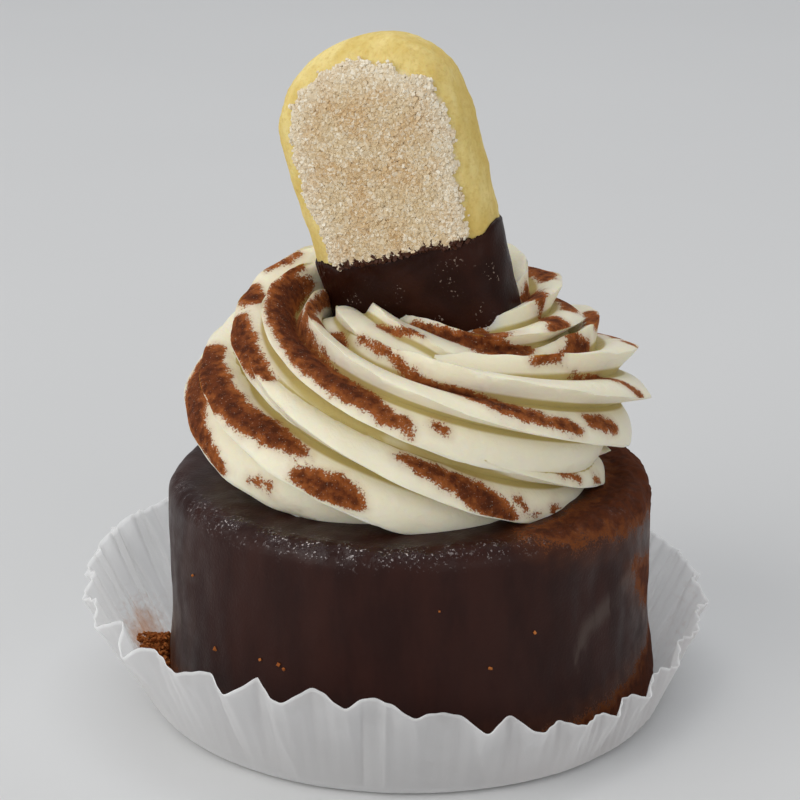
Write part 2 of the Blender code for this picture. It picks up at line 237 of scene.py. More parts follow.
def noise(tree, place, size, detail=2.0, roughness=0.5, stretch=None):
    """Noise with features of about the given size in millimetres, stretched where a vector is given."""
    if stretch:
        place = add_node(tree, "ShaderNodeMapping", {"Vector": place, "Scale": stretch}).outputs[0]
    inputs = {"Vector": place, "Scale": 1 / (size * MM), "Detail": detail, "Roughness": roughness}
    return add_node(tree, "ShaderNodeTexNoise", inputs).outputs["Fac"]


def ramp(tree, value, low, high, bottom=0.0, top=1.0):
    """Maps a value smoothly from one range to another."""
    inputs = {"Value": value, "From Min": low, "From Max": high, "To Min": bottom, "To Max": top}
    node = add_node(tree, "ShaderNodeMapRange", inputs, interpolation_type="SMOOTHSTEP")
    return node.outputs["Result"]


def sums(tree, operation, first, second, third=0.0):
    """One step of arithmetic on values."""
    return add_node(tree, "ShaderNodeMath", {0: first, 1: second, 2: third}, operation=operation).outputs[0]


def blend_colours(tree, share, first, second):
    """A mix of two colours, by a share of the second."""
    return add_node(tree, "ShaderNodeMix", {0: share, 6: first, 7: second}, data_type="RGBA").outputs[2]


def attribute(tree, name):
    """A number stored on the mesh's points."""
    return add_node(tree, "ShaderNodeAttribute", attribute_name=name).outputs["Fac"]


def feed(tree, shader, **sources):
    """Links what changes over the surface to the shader's sockets."""
    for socket, source in sources.items():
        tree.links.new(source, shader.inputs[socket.replace("_", " ")])


def add_bump(tree, shader, height, strength, depth):
    """Small relief all over a material, from a height and the depth in millimetres that it stands for."""
    inputs = {"Height": height, "Strength": strength, "Distance": depth * MM}
    bump = add_node(tree, "ShaderNodeBump", inputs).outputs[0]
    feed(tree, shader, Normal=bump)
    return bump


def case_skin(phase, rise):
    """The paper's outer face, by phase round the pleats and rise up the wall.

    Wide pleats are one wave each, deeper towards the rim, which dips and rises with them. Fine pleats of
    straight folds lie on them and fade where the wall is ironed flat. Creases cross that smooth front, and
    a slow relief stands for crumpled paper.
    """
    azimuth = phase / PLEATS - math.pi
    azimuth = azimuth + waves_round(azimuth, PLEAT_PLACES)
    degrees = np.degrees(azimuth)
    wrapped = [(a - 360, *rest) for a, *rest in RIM[-2:]] + list(RIM)
    wrapped += [(a + 360, *rest) for a, *rest in RIM[:2]]
    rim = knots_at(degrees, wrapped)
    rim_radius, rim_height, depth = (rim[..., i] for i in range(3))
    ironed = np.exp(-(((degrees - IRONED_AZIMUTH) / IRONED_WIDTH) ** 4))
    pleat = PLEAT_ROUNDED * np.cos(phase) + PLEAT_FOLDED * zigzag(phase + 0.5 * math.pi)
    uneven = 1 + waves_round(azimuth, PLEAT_DEPTHS)
    fine = zigzag(FINE_PLEATS * phase) * between(ironed, FINE_DEPTHS) * rise**FINE_POWER
    below = np.clip(1 - rise / CASE_BEND_RISE, 0, 1)
    bend = CASE_BOTTOM_BEND * (1 - np.sqrt(1 - below**2))
    radius = CASE_BASE_RADIUS - bend + (rim_radius - CASE_BASE_RADIUS) * rise
    deep = depth * uneven * pleat * between(ironed, PLEAT_SHARES)
    radius = radius + deep * rise ** between(ironed, PLEAT_POWERS) + fine - RIM_PULL * rise
    for at_foot, at_rim, dip, half in CREASES:
        apart = np.abs(degrees - between(rise, (at_foot, at_rim))) / half
        radius = radius - dip * np.exp(-apart) * np.clip(rise / CREASE_START, 0, 1)
    notch = 2 * (0.5 + 0.5 * pleat) ** (NOTCH_POWER + np.sin(NOTCH_WAVES * azimuth)) - 1
    height = rim_height * rise * (1 - PLEAT_DIP * uneven * rise * notch - FINE_DIP * fine)
    x = CASE_CENTRE[0] + radius * np.cos(azimuth)
    y = CASE_CENTRE[1] + radius * np.sin(azimuth)
    points = np.stack(np.broadcast_arrays(x, y, height), axis=-1)
    outward = np.stack([np.cos(azimuth), np.sin(azimuth), 0 * azimuth], axis=-1)
    return points + outward * (relief(points, CRUMPLES) * rise)[..., None]


def round_stain(points, x, y, reach):
    """A round stain at a place, strongest in its middle."""
    return np.exp(-((points[:, 0] - x) ** 2 + (points[:, 1] - y) ** 2) / reach**2)


def paper_case():
    """The case: its flat base and pleated wall as one sheet, thickened inwards."""
    phase = 2 * math.pi * np.arange(PLEATS * POINTS_PER_PLEAT) / POINTS_PER_PLEAT
    low = CASE_BEND_RISE * (1 - np.cos(np.linspace(0, 0.5 * math.pi, BEND_ROWS)))
    rise = np.concatenate([low, np.linspace(CASE_BEND_RISE, 1, WALL_ROWS)[1:]])
    wall = case_skin(phase[None, :], rise[:, None])
    centre = np.array([*CASE_CENTRE, 0.0])
    base = centre + (wall[0] - centre) * np.linspace(0.15, 0.95, BASE_ROWS)[:, None, None]
    rings = np.concatenate([base, wall])
    rows, columns = rings.shape[:2]
    points = np.concatenate([rings.reshape(-1, 3), [centre]])
    faces = grid_faces(rows, columns).tolist() + fan_faces(0, rows * columns, columns, True).tolist()
    piece = add_mesh("paper_sheet", points, faces)
    sheet = piece.modifiers.new("thickness", "SOLIDIFY")
    sheet.thickness = PAPER_THICKNESS * MM
    sheet.offset = -1.0
    low = np.clip(1 - (points[:, 2] - STAIN_FADE_START) / STAIN_FADE_LENGTH, 0, 1)
    left = LEFT_STRENGTH * round_stain(points, *LEFT_STAIN) * low
    mark(piece, "dusted", left + RIGHT_STRENGTH * round_stain(points, *RIGHT_STAIN))
    return piece


def paper_material():
    """Thin white paper: faint fibres, and a warm stain inside, where cocoa has fallen.

    The inside is where a face looks towards the case's middle.
    """
    made, tree, shader, place = start_material(
        "white_baking_paper",
        Roughness=0.62,
        Subsurface_Weight=1.0,
        Subsurface_Radius=(1.0, 1.0, 1.0),
        Subsurface_Scale=0.0015,
    )
    white = blend_colours(tree, noise(tree, place, 9.0, 2.0), PAPER_SHADE, PAPER_LIGHT)
    facing = add_node(tree, "ShaderNodeTexCoord").outputs["Normal"]
    product = add_node(tree, "ShaderNodeVectorMath", {0: facing, 1: place}, operation="DOT_PRODUCT")
    inside = ramp(tree, product.outputs["Value"], 0.004, -0.004)
    dusted = sums(tree, "MULTIPLY", attribute(tree, "dusted"), inside)
    stain = sums(tree, "MULTIPLY_ADD", noise(tree, place, 1.3, 3.0), 0.9, dusted)
    stained = blend_colours(tree, ramp(tree, stain, 0.62, 1.6), white, PAPER_STAINED)
    feed(tree, shader, Base_Color=stained)
    add_bump(tree, shader, noise(tree, place, 0.35, 3.0, 0.6), 0.25, 0.06)
    return made


dress(paper_case(), paper_material(), "paper_case")

# Cake: a squat round cake under a dark chocolate coating that has run to a foot. The coating is satin
# and a little wavy, wet and grainy round its shoulder, and cocoa lies on its rim and right side.
CAKE_BOTTOM = 0.65
CAKE_TOP = 34.3
CAKE_TOP_RADIUS = 35.4
CAKE_FOOT_RADIUS = 37.3
CAKE_SHOULDER = 3.2
CAKE_FOOT_HEIGHT = 16.0
CAKE_TAPER = 0.5
CAKE_OVAL, CAKE_UNEVEN = 0.25, 0.18
CAKE_TUCK, CAKE_TUCK_HEIGHT = 1.4, 2.2
CAKE_COLUMNS = 460
# Rows of points: up the foot to the first height, up the side to the second, and this far in over the top.
FOOT_ROWS_END, SIDE_ROWS_END, TOP_ROWS_REACH = 3.0, 31.0, 19.0
# The hollow on the right: how deep, its half width in radians, the height of its middle, its half height.
HOLLOW_DEPTH, HOLLOW_WIDTH, HOLLOW_MIDDLE, HOLLOW_HEIGHT = 0.5, 0.5, 12.0, 6.0
DENT_AZIMUTH, DENT_HEIGHT, DENT_RADIUS, DENT_DEPTH = -44.0, 25.0, 4.2, 0.9
# Bands of cocoa on the cake: rows of azimuth in degrees, way up the side and over the top, half width.
CAKE_COCOA = (
    ((-61, 35.8, 0.4), (-50, 35.5, 2.2), (-20, 35.0, 4.2), (40, 35.0, 4.2), (95, 36.0, 3.0),
     (130, 36.5, 1.0)),
    ((-8, 33.0, 4.0), (2, 28.0, 6.0), (3, 22.0, 6.0), (6, 15.0, 4.0), (3, 9.0, 3.5), (-6, 4.0, 6.0)),
    ((-26, 24.5, 0.5), (-20, 21.5, 1.8), (-12, 19.0, 3.0)),
    ((-8, 5.0, 5.0), (-22, 3.5, 4.0), (-34, 2.5, 4.0), (-52, 2.0, 3.2), (-66, 0.5, 1.4)),
    ((175, 1.0, 3.0), (-176, 1.5, 4.0), (-162, 0.0, 2.4)),
    ((60, 3.0, 2.0), (90, 2.0, 3.0), (120, 2.0, 1.0)),
)
# How far outside a band its depth is still worked out.
COCOA_REACH = 7.0
# Relief of the coating, of the runs down its side, of the cocoa and of the wet shoulder: height, size, seed.
COATING_RELIEF = ((0.10, 11.0, 21),)
RUN_RELIEF, RUN_SQUASH = ((0.05, 3.5, 22),), (1.0, 1.0, 0.35)
COCOA_RELIEF = ((0.22, 3.2, 23), (0.14, 1.3, 24))
WET_RELIEF = ((0.10, 1.5, 25), (0.08, 3.0, 26))
# Cocoa is crumbly from this way up on, over so much.
CRUMBLY_WAY, CRUMBLY_OVER = 26, 6
# The wet shoulder: its way up and half width, how far it fades in from the middle, and to the right.
WET_WAY, WET_WIDTH = 34.4, 1.7
WET_FRONT, WET_RIGHT, WET_RIGHT_FADE = 20, 20, 24
# A pale streak of painted highlight that runs down past the dent: azimuth in degrees, way up the side, half
# width.
SHEEN_STREAK = ((-14, 26.5, 0.8), (-24, 25.5, 0.6), (-36, 21.0, 0.8), (-46, 19.0, 0.4), (-50, 14.0, 0.2))
STREAK_STRENGTH, STREAK_SOFTNESS = 0.5, 1.8
# The broad painted sheen on the left, a painted reflection: azimuth and half width in degrees, and its
# strength.
SHEEN_AZIMUTH, SHEEN_WIDTH, SHEEN_STRENGTH = 186, 15, 0.8
SHEEN_FOOT_FADE, SHEEN_TOP, SHEEN_TOP_FADE = 8, 33, 6
COATING_FRINGE = 3.4
COCOA_LOOSE = (0.34, 0.100, 0.022, 1)
COCOA_DENSE = (0.135, 0.032, 0.0075, 1)
COCOA_DAMP = (0.070, 0.0165, 0.0048, 1)
COCOA_ON_COATING = (0.13, 0.033, 0.009, 1)
COATING_DARK = (0.0190, 0.0042, 0.0026, 1)
COATING_LIGHT = (0.0330, 0.0085, 0.0052, 1)
COATING_PAINTED_SHEEN = (0.105, 0.078, 0.066, 1)
COATING_WET = (0.022, 0.0050, 0.0040, 1)
COATING_GLINT = (0.62, 0.55, 0.54, 1)


def cake_radius(azimuth, height):
    """Radius of the cake's side below its shoulder, with a foot tucked in below, a hollow and a dent."""
    rise = (height - CAKE_BOTTOM) / (CAKE_TOP - CAKE_BOTTOM)
    foot = np.clip(1 - (height - CAKE_BOTTOM) / CAKE_FOOT_HEIGHT, 0, 1) ** 1.5
    spread = CAKE_FOOT_RADIUS - CAKE_TOP_RADIUS - CAKE_TAPER
    radius = CAKE_TOP_RADIUS + CAKE_TAPER * (1 - rise) + spread * foot
    radius = radius + CAKE_OVAL * np.sin(2 * azimuth + 0.6) + CAKE_UNEVEN * np.sin(5 * azimuth + 5 * rise)
    off_middle = (azimuth / HOLLOW_WIDTH) ** 2 + ((height - HOLLOW_MIDDLE) / HOLLOW_HEIGHT) ** 2
    radius = radius - HOLLOW_DEPTH * np.exp(-off_middle)
    across = (azimuth - math.radians(DENT_AZIMUTH)) * CAKE_TOP_RADIUS
    dent = np.exp(-(across**2 + (height - DENT_HEIGHT) ** 2) / DENT_RADIUS**2)
    tuck = np.clip(1 - (height - CAKE_BOTTOM) / CAKE_TUCK_HEIGHT, 0, 1) ** 2
    return radius - DENT_DEPTH * dent - CAKE_TUCK * tuck


def cake_skin(azimuth, way, raised=0.0):
    """Points on the coating, by azimuth and by the way up the side, round the shoulder and inwards.

    raised moves a point out along the smooth skin's own direction.
    """
    azimuth, way, raised = np.broadcast_arrays(azimuth, way, raised)
    shoulder = CAKE_TOP - CAKE_SHOULDER
    bend = np.clip((way - shoulder) / CAKE_SHOULDER, 0, 0.5 * math.pi)
    inward = np.clip(way - shoulder - 0.5 * math.pi * CAKE_SHOULDER, 0, None)
    side = cake_radius(azimuth, np.minimum(way, shoulder))
    radius = side - CAKE_SHOULDER * (1 - np.cos(bend)) - inward + raised * np.cos(bend)
    height = np.minimum(way, shoulder) + (CAKE_SHOULDER + raised) * np.sin(bend)
    return np.stack([radius * np.cos(azimuth), radius * np.sin(azimuth), height], axis=-1)


def cake_skin_degrees(azimuth, way):
    """Points on the coating, by azimuth in degrees, for the bands that lie on it."""
    return cake_skin(np.radians(azimuth), way)


def band_line(skin, rows, spacing=0.4):
    """Closely spaced points along a band's middle on a skin, with half the band's width at each."""
    rows = np.array(rows, float)
    share = np.linspace(0, len(rows) - 1, 60)
    knots = np.stack([np.interp(share, np.arange(len(rows)), column) for column in rows.T], axis=1)
    line = skin(knots[:, 0], knots[:, 1])
    steps = np.concatenate([[0.0], np.cumsum(np.linalg.norm(np.diff(line, axis=0), axis=1))])
    count = max(2, int(steps[-1] / spacing))
    even = np.interp(np.linspace(0, steps[-1], count), steps, share)
    knots = np.stack([np.interp(even, share, column) for column in knots.T], axis=1)
    return skin(knots[:, 0], knots[:, 1]), knots[:, 2]


def depth_in_bands(points, lines):
    """How far inside a band of cocoa each point lies: the band's half width less the way to its middle."""
    depth = np.full(len(points), -COCOA_REACH)
    for line, half in lines:
        margin = half.max() + COCOA_REACH
        near = np.all((points > line.min(0) - margin) & (points < line.max(0) + margin), axis=1)
        apart = np.linalg.norm(points[near][:, None, :] - line[None, :, :], axis=2)
        depth[near] = np.maximum(depth[near], (half[None, :] - apart).max(1))
    return depth


def cake():
    """The coated cake, with waves in the coating and a crumbly surface where the cocoa lies."""
    azimuth = np.linspace(-math.pi, math.pi, CAKE_COLUMNS, endpoint=False)
    shoulder_end = CAKE_TOP - CAKE_SHOULDER + 0.5 * math.pi * CAKE_SHOULDER
    way = np.concatenate([
        np.linspace(CAKE_BOTTOM, FOOT_ROWS_END, 9)[:-1],
        np.linspace(FOOT_ROWS_END, SIDE_ROWS_END, 54),
        np.linspace(SIDE_ROWS_END + 0.4, shoulder_end, 15),
        shoulder_end + np.linspace(0.5, TOP_ROWS_REACH, 24),
    ])
    smooth = cake_skin(azimuth[None, :], way[:, None])
    lines = [band_line(cake_skin_degrees, rows) for rows in CAKE_COCOA]
    depth = depth_in_bands(smooth.reshape(-1, 3), lines).reshape(smooth.shape[:2])
    upper = np.clip((way[:, None] - CRUMBLY_WAY) / CRUMBLY_OVER, 0.15, 1)
    crumbly = np.clip(depth / 2.5 + 0.3, 0, 1) * upper
    raised = relief(smooth, COATING_RELIEF) + relief(smooth * np.array(RUN_SQUASH), RUN_RELIEF)
    raised = raised + crumbly * relief(smooth, COCOA_RELIEF)
    wet = np.exp(-(((way[:, None] - WET_WAY) / WET_WIDTH) ** 2)) * np.clip(-smooth[..., 1] / WET_FRONT, 0, 1)
    wet = wet * np.clip((WET_RIGHT - smooth[..., 0]) / WET_RIGHT_FADE, 0.3, 1)
    raised = raised + wet * relief(smooth, WET_RELIEF)
    raised = np.where(way[:, None] < CAKE_BOTTOM + 0.3, 0.0, raised)
    points, faces = closed_skin(cake_skin(azimuth[None, :], way[:, None], raised))
    piece = add_mesh("coated_cake", points, faces)
    mark(piece, "cocoa", np.append(depth, [-COCOA_REACH, -COCOA_REACH]))
    mark(piece, "wet", np.append(wet, [0.0, 0.0]))
    # Painted sheen: a broad painted reflection on the left, and a painted highlight along the streak past the
    # dent.
    azimuth = np.degrees(np.arctan2(points[:, 1], points[:, 0]))
    height = points[:, 2]
    side = np.clip(height / SHEEN_FOOT_FADE, 0, 1) * np.clip((SHEEN_TOP - height) / SHEEN_TOP_FADE, 0, 1)
    left = np.exp(-(((np.mod(azimuth, 360) - SHEEN_AZIMUTH) / SHEEN_WIDTH) ** 2)) * side
    depth = depth_in_bands(points, [band_line(cake_skin_degrees, SHEEN_STREAK)])
    streak = np.clip(depth / STREAK_SOFTNESS + 1, 0, 1) ** 1.5
    mark(piece, "painted_sheen", np.maximum(SHEEN_STRENGTH * left, STREAK_STRENGTH * streak))
    return piece


def cocoa_group():
    """Cocoa dust: dense inside its patch, thinning out over a fringe of rusty grains, with its relief.

    Depth is the way in from the patch's edge and Fringe the width of the thin edge, both in millimetres.
    """
    group = bpy.data.node_groups.new("cocoa_dust", "ShaderNodeTree")
    sockets = {
        "INPUT": (("Position", "Vector"), ("Depth", "Float"), ("Fringe", "Float")),
        "OUTPUT": (("Amount", "Float"), ("Colour", "Color"), ("Relief", "Float")),
    }
    for side, rows in sockets.items():
        for name, kind in rows:
            group.interface.new_socket(name, in_out=side, socket_type="NodeSocket" + kind)
    given = group.nodes.new("NodeGroupInput")
    result = group.nodes.new("NodeGroupOutput")
    place, depth, fringe = (given.outputs[name] for name in ("Position", "Depth", "Fringe"))
    edge = noise(group, place, 2.2, 3.0, 0.5)
    grain = noise(group, place, 0.30, 2.0, 0.6)
    lumps = noise(group, place, 1.3, 3.0, 0.6)
    rough = sums(group, "MULTIPLY_ADD", fringe, 1.3, 0.4)
    wander = sums(group, "SUBTRACT", edge, 0.5)
    ragged = sums(group, "MULTIPLY_ADD", wander, rough, depth)
    share = sums(group, "DIVIDE", ragged, fringe)
    patch = ramp(group, share, -0.9, 0.35)
    speckled = sums(group, "MULTIPLY_ADD", sums(group, "SUBTRACT", grain, 0.5), 1.8, patch)
    broken = sums(group, "MULTIPLY", ramp(group, speckled, 0.22, 0.78), ramp(group, patch, 0.0, 0.15))
    stain = sums(group, "MULTIPLY", ramp(group, share, -1.5, 0.3), 0.34)
    loose = sums(group, "MULTIPLY", ramp(group, grain, 0.68, 0.76), ramp(group, depth, -2.0, -0.3))
    dusted = sums(group, "MAXIMUM", broken, stain)
    amount = sums(group, "MAXIMUM", dusted, sums(group, "MULTIPLY", loose, 0.7))
    heaped = sums(group, "MULTIPLY_ADD", lumps, 5.0, sums(group, "SUBTRACT", ragged, 2.6))
    rusty = blend_colours(group, ramp(group, heaped, -0.8, 1.4), COCOA_LOOSE, COCOA_DENSE)
    damp = sums(group, "MULTIPLY", ramp(group, lumps, 0.45, 0.65), ramp(group, ragged, 0.2, 1.4))
    colour = blend_colours(group, damp, rusty, COCOA_DAMP)
    grains = sums(group, "MULTIPLY", broken, grain)
    for name, value in (("Amount", amount), ("Colour", colour), ("Relief", grains)):
        group.links.new(value, result.inputs[name])
    return group


cocoa_dust = cocoa_group()


def cocoa_on(tree, place, depth, fringe):
    """Places the cocoa dust in a material, at the depth stored on the mesh."""
    inputs = {"Position": place, "Depth": depth, "Fringe": fringe}
    node = add_node(tree, "ShaderNodeGroup", inputs, node_tree=cocoa_dust)
    return (node.outputs[name] for name in ("Amount", "Colour", "Relief"))


def coating_material():
    """Dark chocolate coating: satin and faintly streaked, with a painted sheen, and painted glints on its wet
    shoulder.
    """
    made, tree, shader, place = start_material(
        "chocolate_coating",
        IOR=1.5,
        Specular_IOR_Level=0.17,
        Coat_Roughness=0.12,
    )
    amount, powder, grains = cocoa_on(tree, place, attribute(tree, "cocoa"), COATING_FRINGE)
    patchy = ramp(tree, noise(tree, place, 3.2, 3.0, 0.6), 0.40, 0.60)
    wet = sums(tree, "MULTIPLY", attribute(tree, "wet"), patchy)
    streaks = ramp(tree, noise(tree, place, 6.0, 4.0, 0.6, (1.0, 1.0, 0.3)), 0.3, 0.7)
    chocolate = blend_colours(tree, streaks, COATING_DARK, COATING_LIGHT)
    # Painted sheen: the coating is lightened where marked, as a painted reflection and highlight.
    painted_sheen = sums(tree, "MULTIPLY", attribute(tree, "painted_sheen"), ramp(tree, streaks, 0.35, 0.65, 0.15, 1.0))
    chocolate = blend_colours(tree, painted_sheen, chocolate, COATING_PAINTED_SHEEN)
    chocolate = blend_colours(tree, wet, chocolate, COATING_WET)
    # Painted glints: pale specks painted into the base colour on the wet shoulder, as painted highlights.
    glints = sums(tree, "MULTIPLY", wet, ramp(tree, noise(tree, place, 0.42, 2.0, 0.6), 0.60, 0.68))
    broad = sums(tree, "MULTIPLY", wet, ramp(tree, noise(tree, place, 1.1, 3.0, 0.65), 0.63, 0.68))
    glints = sums(tree, "MAXIMUM", glints, sums(tree, "MULTIPLY", broad, 0.6))
    chocolate = blend_colours(tree, glints, chocolate, COATING_GLINT)
    powder = blend_colours(tree, 0.35, powder, COCOA_ON_COATING)
    coloured = blend_colours(tree, sums(tree, "MULTIPLY", amount, 0.65), chocolate, powder)
    rough = ramp(tree, noise(tree, place, 3.0, 3.0), 0.3, 0.7, 0.36, 0.50)
    rough = sums(tree, "MAXIMUM", rough, sums(tree, "MULTIPLY", amount, 0.9))
    rough = sums(tree, "MULTIPLY_ADD", wet, -0.14, rough)
    feed(tree, shader, Base_Color=coloured, Roughness=rough, Coat_Weight=sums(tree, "MULTIPLY", wet, 0.4))
    swell = sums(tree, "MULTIPLY_ADD", wet, 3.0, 0.7)
    grainy = sums(tree, "MULTIPLY", noise(tree, place, 0.42, 2.0, 0.55), swell)
    height = sums(tree, "MULTIPLY_ADD", grains, 1.6, grainy)
    feed(tree, shader, Coat_Normal=add_bump(tree, shader, height, 0.6, 0.12))
    return made


dress(cake(), coating_material(), "cake")

# Cream: whipped cream piped through a nozzle with eight teeth, clockwise from the right, as one rope that
# goes round two and a half times. Cocoa was sieved over it and lies on its ridges' upper flanks.
CREAM_BOTTOM = 34.6
ROPE_START = -5.0
# The rope's path: turns made, radius of the path, height above the cake, half its thickness, centre x.
ROPE_PATH = (
    (0.00, 24.0, 2.2, 5.0, 0.5),
    (0.12, 21.8, 4.2, 8.6, 0.4),
    (0.30, 20.6, 8.1, 11.0, 0.6),
    (0.50, 21.4, 10.2, 12.0, 0.0),
    (0.75, 22.6, 11.8, 11.0, 0.0),
    (1.00, 23.7, 11.9, 9.9, 1.5),
    (1.25, 20.6, 14.6, 8.8, 2.4),
    (1.50, 19.0, 19.2, 9.0, 1.2),
    (1.75, 17.8, 22.4, 9.0, 0.0),
    (2.00, 17.2, 19.2, 7.8, 0.0),
    (2.12, 13.8, 17.0, 7.0, 0.0),
    (2.25, 11.0, 18.2, 7.5, 0.0),
    (2.40, 9.5, 18.4, 7.4, 0.0),
    (2.54, 8.0, 14.0, 4.5, 0.0),
)
ROPE_RIDGES = 8
RIDGE_DEPTH = 0.42
RIDGE_FADE_START, RIDGE_FADE_LENGTH, RIDGE_FADE = 1.95, 0.2, 0.5
RIDGE_TURN_START = 10.2
RIDGE_TURNS_PER_TURN = 0.96
# One ridge from its lip up to the next lip: share of the way, share of the ridge's depth.
RIDGE_SHAPE = (
    (0.0, 0.02), (0.03, 0.03), (0.07, 0.06), (0.13, 0.12), (0.2, 0.19), (0.28, 0.28), (0.36, 0.38),
    (0.44, 0.49), (0.52, 0.61), (0.6, 0.74), (0.68, 0.87), (0.75, 0.96), (0.81, 1.0), (0.86, 0.92),
    (0.91, 0.62), (0.955, 0.24), (0.985, 0.06),
)
# How a ridge's depth and lip vary along the rope: radians in a turn, phase from ridge to ridge, height.
RIDGE_DRIFT = ((9.1, 2.3, 0.10), (23, 4.1, 0.06))
LIP_WANDER = ((57, 2.7, 0.19), (131, 1.3, 0.14))
LIP_WIDTH = 0.12
ROPE_SPLITS = (0.82, 1.62)
ROPE_OVERLAP = 0.02
# Scale of the rope at a tucked end, and just beyond it where a length starts, a hair over the one before.
TUCK_SCALE, TUCK_NECK_SCALE = 0.8, 1.005
ROPE_STEPS_PER_TURN = 190
CORE_RADIUS, CORE_HEIGHT = 17.5, 20.0
# The core's outline: shares of its radius and of its height.
CORE_PROFILE = ((1.0, -0.1), (1.0, 0.85), (0.9, 0.95), (0.5, 1.0))
SLAB_RADIUS, SLAB_DEPTH, SLAB_PROUD = 60.0, 16.0, 0.02
CREAM_SHARP_ANGLE = 60.0
# How the valleys for the cream's painted shade are found: rounds of smoothing, and the depth that counts as
# full.
VALLEY_ROUNDS, VALLEY_DEPTH = 40, 0.5
# Cocoa thins out where the cream faces down: from this slope on, by this much.
SHELTER_SLOPE, SHELTER = 0.1, 2.5
CREAM_FRINGE = 1.3
CREAM_SHADE = (0.86, 0.80, 0.61, 1)
CREAM_LIGHT = (0.89, 0.84, 0.67, 1)
CREAM_VALLEY_SHADE = (0.54, 0.435, 0.17, 1)
# Bands of cocoa on the rope: rows of turn, ridge and half width.
CREAM_COCOA = (
    ((0.475, 5.10, 2.2), (0.414, 5.25, 2.3), (0.376, 5.40, 2.1), (0.350, 5.49, 1.7), (0.331, 5.51, 0.9)),
    ((0.520, 4.35, 1.8), (0.477, 4.25, 2.3), (0.452, 4.17, 2.0), (0.430, 4.10, 1.4), (0.405, 4.08, 0.8)),
    ((0.324, 5.16, 0.9), (0.308, 5.21, 1.7), (0.293, 5.26, 1.8), (0.278, 5.22, 1.2)),
    ((1.530, 6.45, 1.2), (1.490, 6.35, 2.4), (1.426, 6.47, 2.7), (1.356, 6.50, 2.4), (1.311, 6.46, 2.0),
     (1.286, 6.44, 1.6), (1.262, 6.28, 0.9)),
    ((1.545, 6.00, 0.6), (1.521, 6.05, 0.8), (1.498, 6.45, 1.0)),
    ((1.515, 5.10, 1.6), (1.502, 5.24, 1.8), (1.500, 5.45, 1.2)),
    ((1.468, 5.13, 1.7), (1.440, 5.22, 2.0), (1.400, 5.30, 1.3)),
    ((0.415, 5.98, 1.0), (0.400, 6.06, 1.3), (0.384, 6.15, 0.9)),
    ((1.394, 7.20, 1.3), (1.380, 7.55, 1.6), (1.362, 7.85, 1.0)),
    ((1.401, 6.95, 0.7), (1.451, 7.27, 1.0), (1.509, 7.24, 0.9)),
    ((1.340, 7.95, 0.35), (1.311, 7.97, 0.45), (1.292, 7.96, 0.4), (1.273, 7.93, 0.5)),
    ((1.273, 7.92, 0.6), (1.241, 7.86, 1.0), (1.216, 7.78, 1.5), (1.195, 7.65, 1.8), (1.175, 7.48, 1.8),
     (1.159, 7.40, 1.3), (1.146, 7.35, 1.0)),
    ((1.142, 7.30, 0.7), (1.127, 7.28, 1.0), (1.116, 7.24, 0.7)),
    ((1.098, 7.45, 0.8), (1.082, 7.42, 1.2), (1.069, 7.36, 0.7)),
    ((0.250, 6.45, 0.7), (0.229, 6.47, 1.1), (0.212, 6.42, 1.4), (0.197, 6.38, 1.7), (0.183, 6.27, 2.1),
     (0.170, 6.18, 1.7), (0.156, 6.05, 1.0)),
    ((0.150, 6.42, 0.5), (0.142, 6.25, 0.4)),
    ((0.132, 6.12, 0.4), (0.127, 6.08, 0.5)),
    ((2.245, 0.88, 0.5), (2.215, 0.87, 0.7), (2.184, 0.89, 0.9), (2.158, 0.90, 1.2), (2.120, 0.92, 1.8),
     (2.094, 0.85, 2.0), (2.069, 0.72, 1.5)),
    ((1.125, 0.97, 0.9), (1.108, 0.98, 0.8)),
    ((2.101, 1.90, 0.8), (2.094, 1.30, 1.0)),
    ((1.954, 2.89, 1.2), (2.002, 2.20, 1.6), (2.005, 1.92, 1.2)),
    ((2.012, 1.54, 1.2), (2.018, 1.15, 1.6), (2.030, 1.00, 1.0)),
    ((1.085, 1.70, 0.7), (1.060, 1.85, 1.3), (1.035, 1.95, 1.4), (1.012, 1.89, 1.0)),
    ((0.936, 2.17, 0.9), (0.980, 2.05, 1.2)),
    ((1.089, 0.89, 0.6), (1.057, 0.85, 0.8), (1.050, 0.45, 0.8), (1.044, 0.14, 0.7), (1.038, 0.02, 0.4)),
    ((0.985, 1.10, 0.4), (0.970, 1.24, 0.5)),
    ((1.254, 6.37, 0.45), (1.248, 6.20, 0.5)),
    ((1.229, 6.52, 0.5), (1.222, 6.49, 0.6)),
    ((1.114, 6.11, 0.5), (1.108, 6.10, 0.5)),
    ((0.095, 7.21, 0.5), (0.090, 7.20, 0.5)),
    ((0.057, 7.14, 0.55), (0.050, 7.13, 0.45)),
    ((0.108, 6.23, 0.9), (0.095, 6.10, 0.9)),
    ((0.378, 4.22, 0.4), (0.369, 4.29, 0.45)),
    ((0.358, 4.36, 0.5), (0.356, 4.20, 0.55), (0.350, 4.15, 0.4)),
    ((0.345, 4.09, 0.4), (0.331, 4.17, 0.35)),
    ((0.980, 1.98, 0.5), (0.960, 2.16, 0.8)),
    ((2.300, 7.70, 0.3), (2.262, 7.88, 0.4), (2.222, 8.02, 0.3)),
    ((1.590, 5.11, 0.5), (1.575, 5.12, 0.6)),
    ((1.562, 5.06, 0.5), (1.553, 5.10, 0.5)),
)
# Behind, where nothing shows how the cocoa lies: bands of like size, along the flanks that face up. Each is
# drawn between two ends: turns made, way it faces in degrees, share of a ridge, half length and width.
BACK_BANDS = 26
BACK_SEED = 7
BACK_TURNS = (0.56, 0.94)
BACK_FACINGS = (-5.0, 65.0)
BACK_FLANK = (0.3, 0.5)
BACK_LENGTHS, BACK_WIDTHS = (0.01, 0.07), (0.5, 2.0)


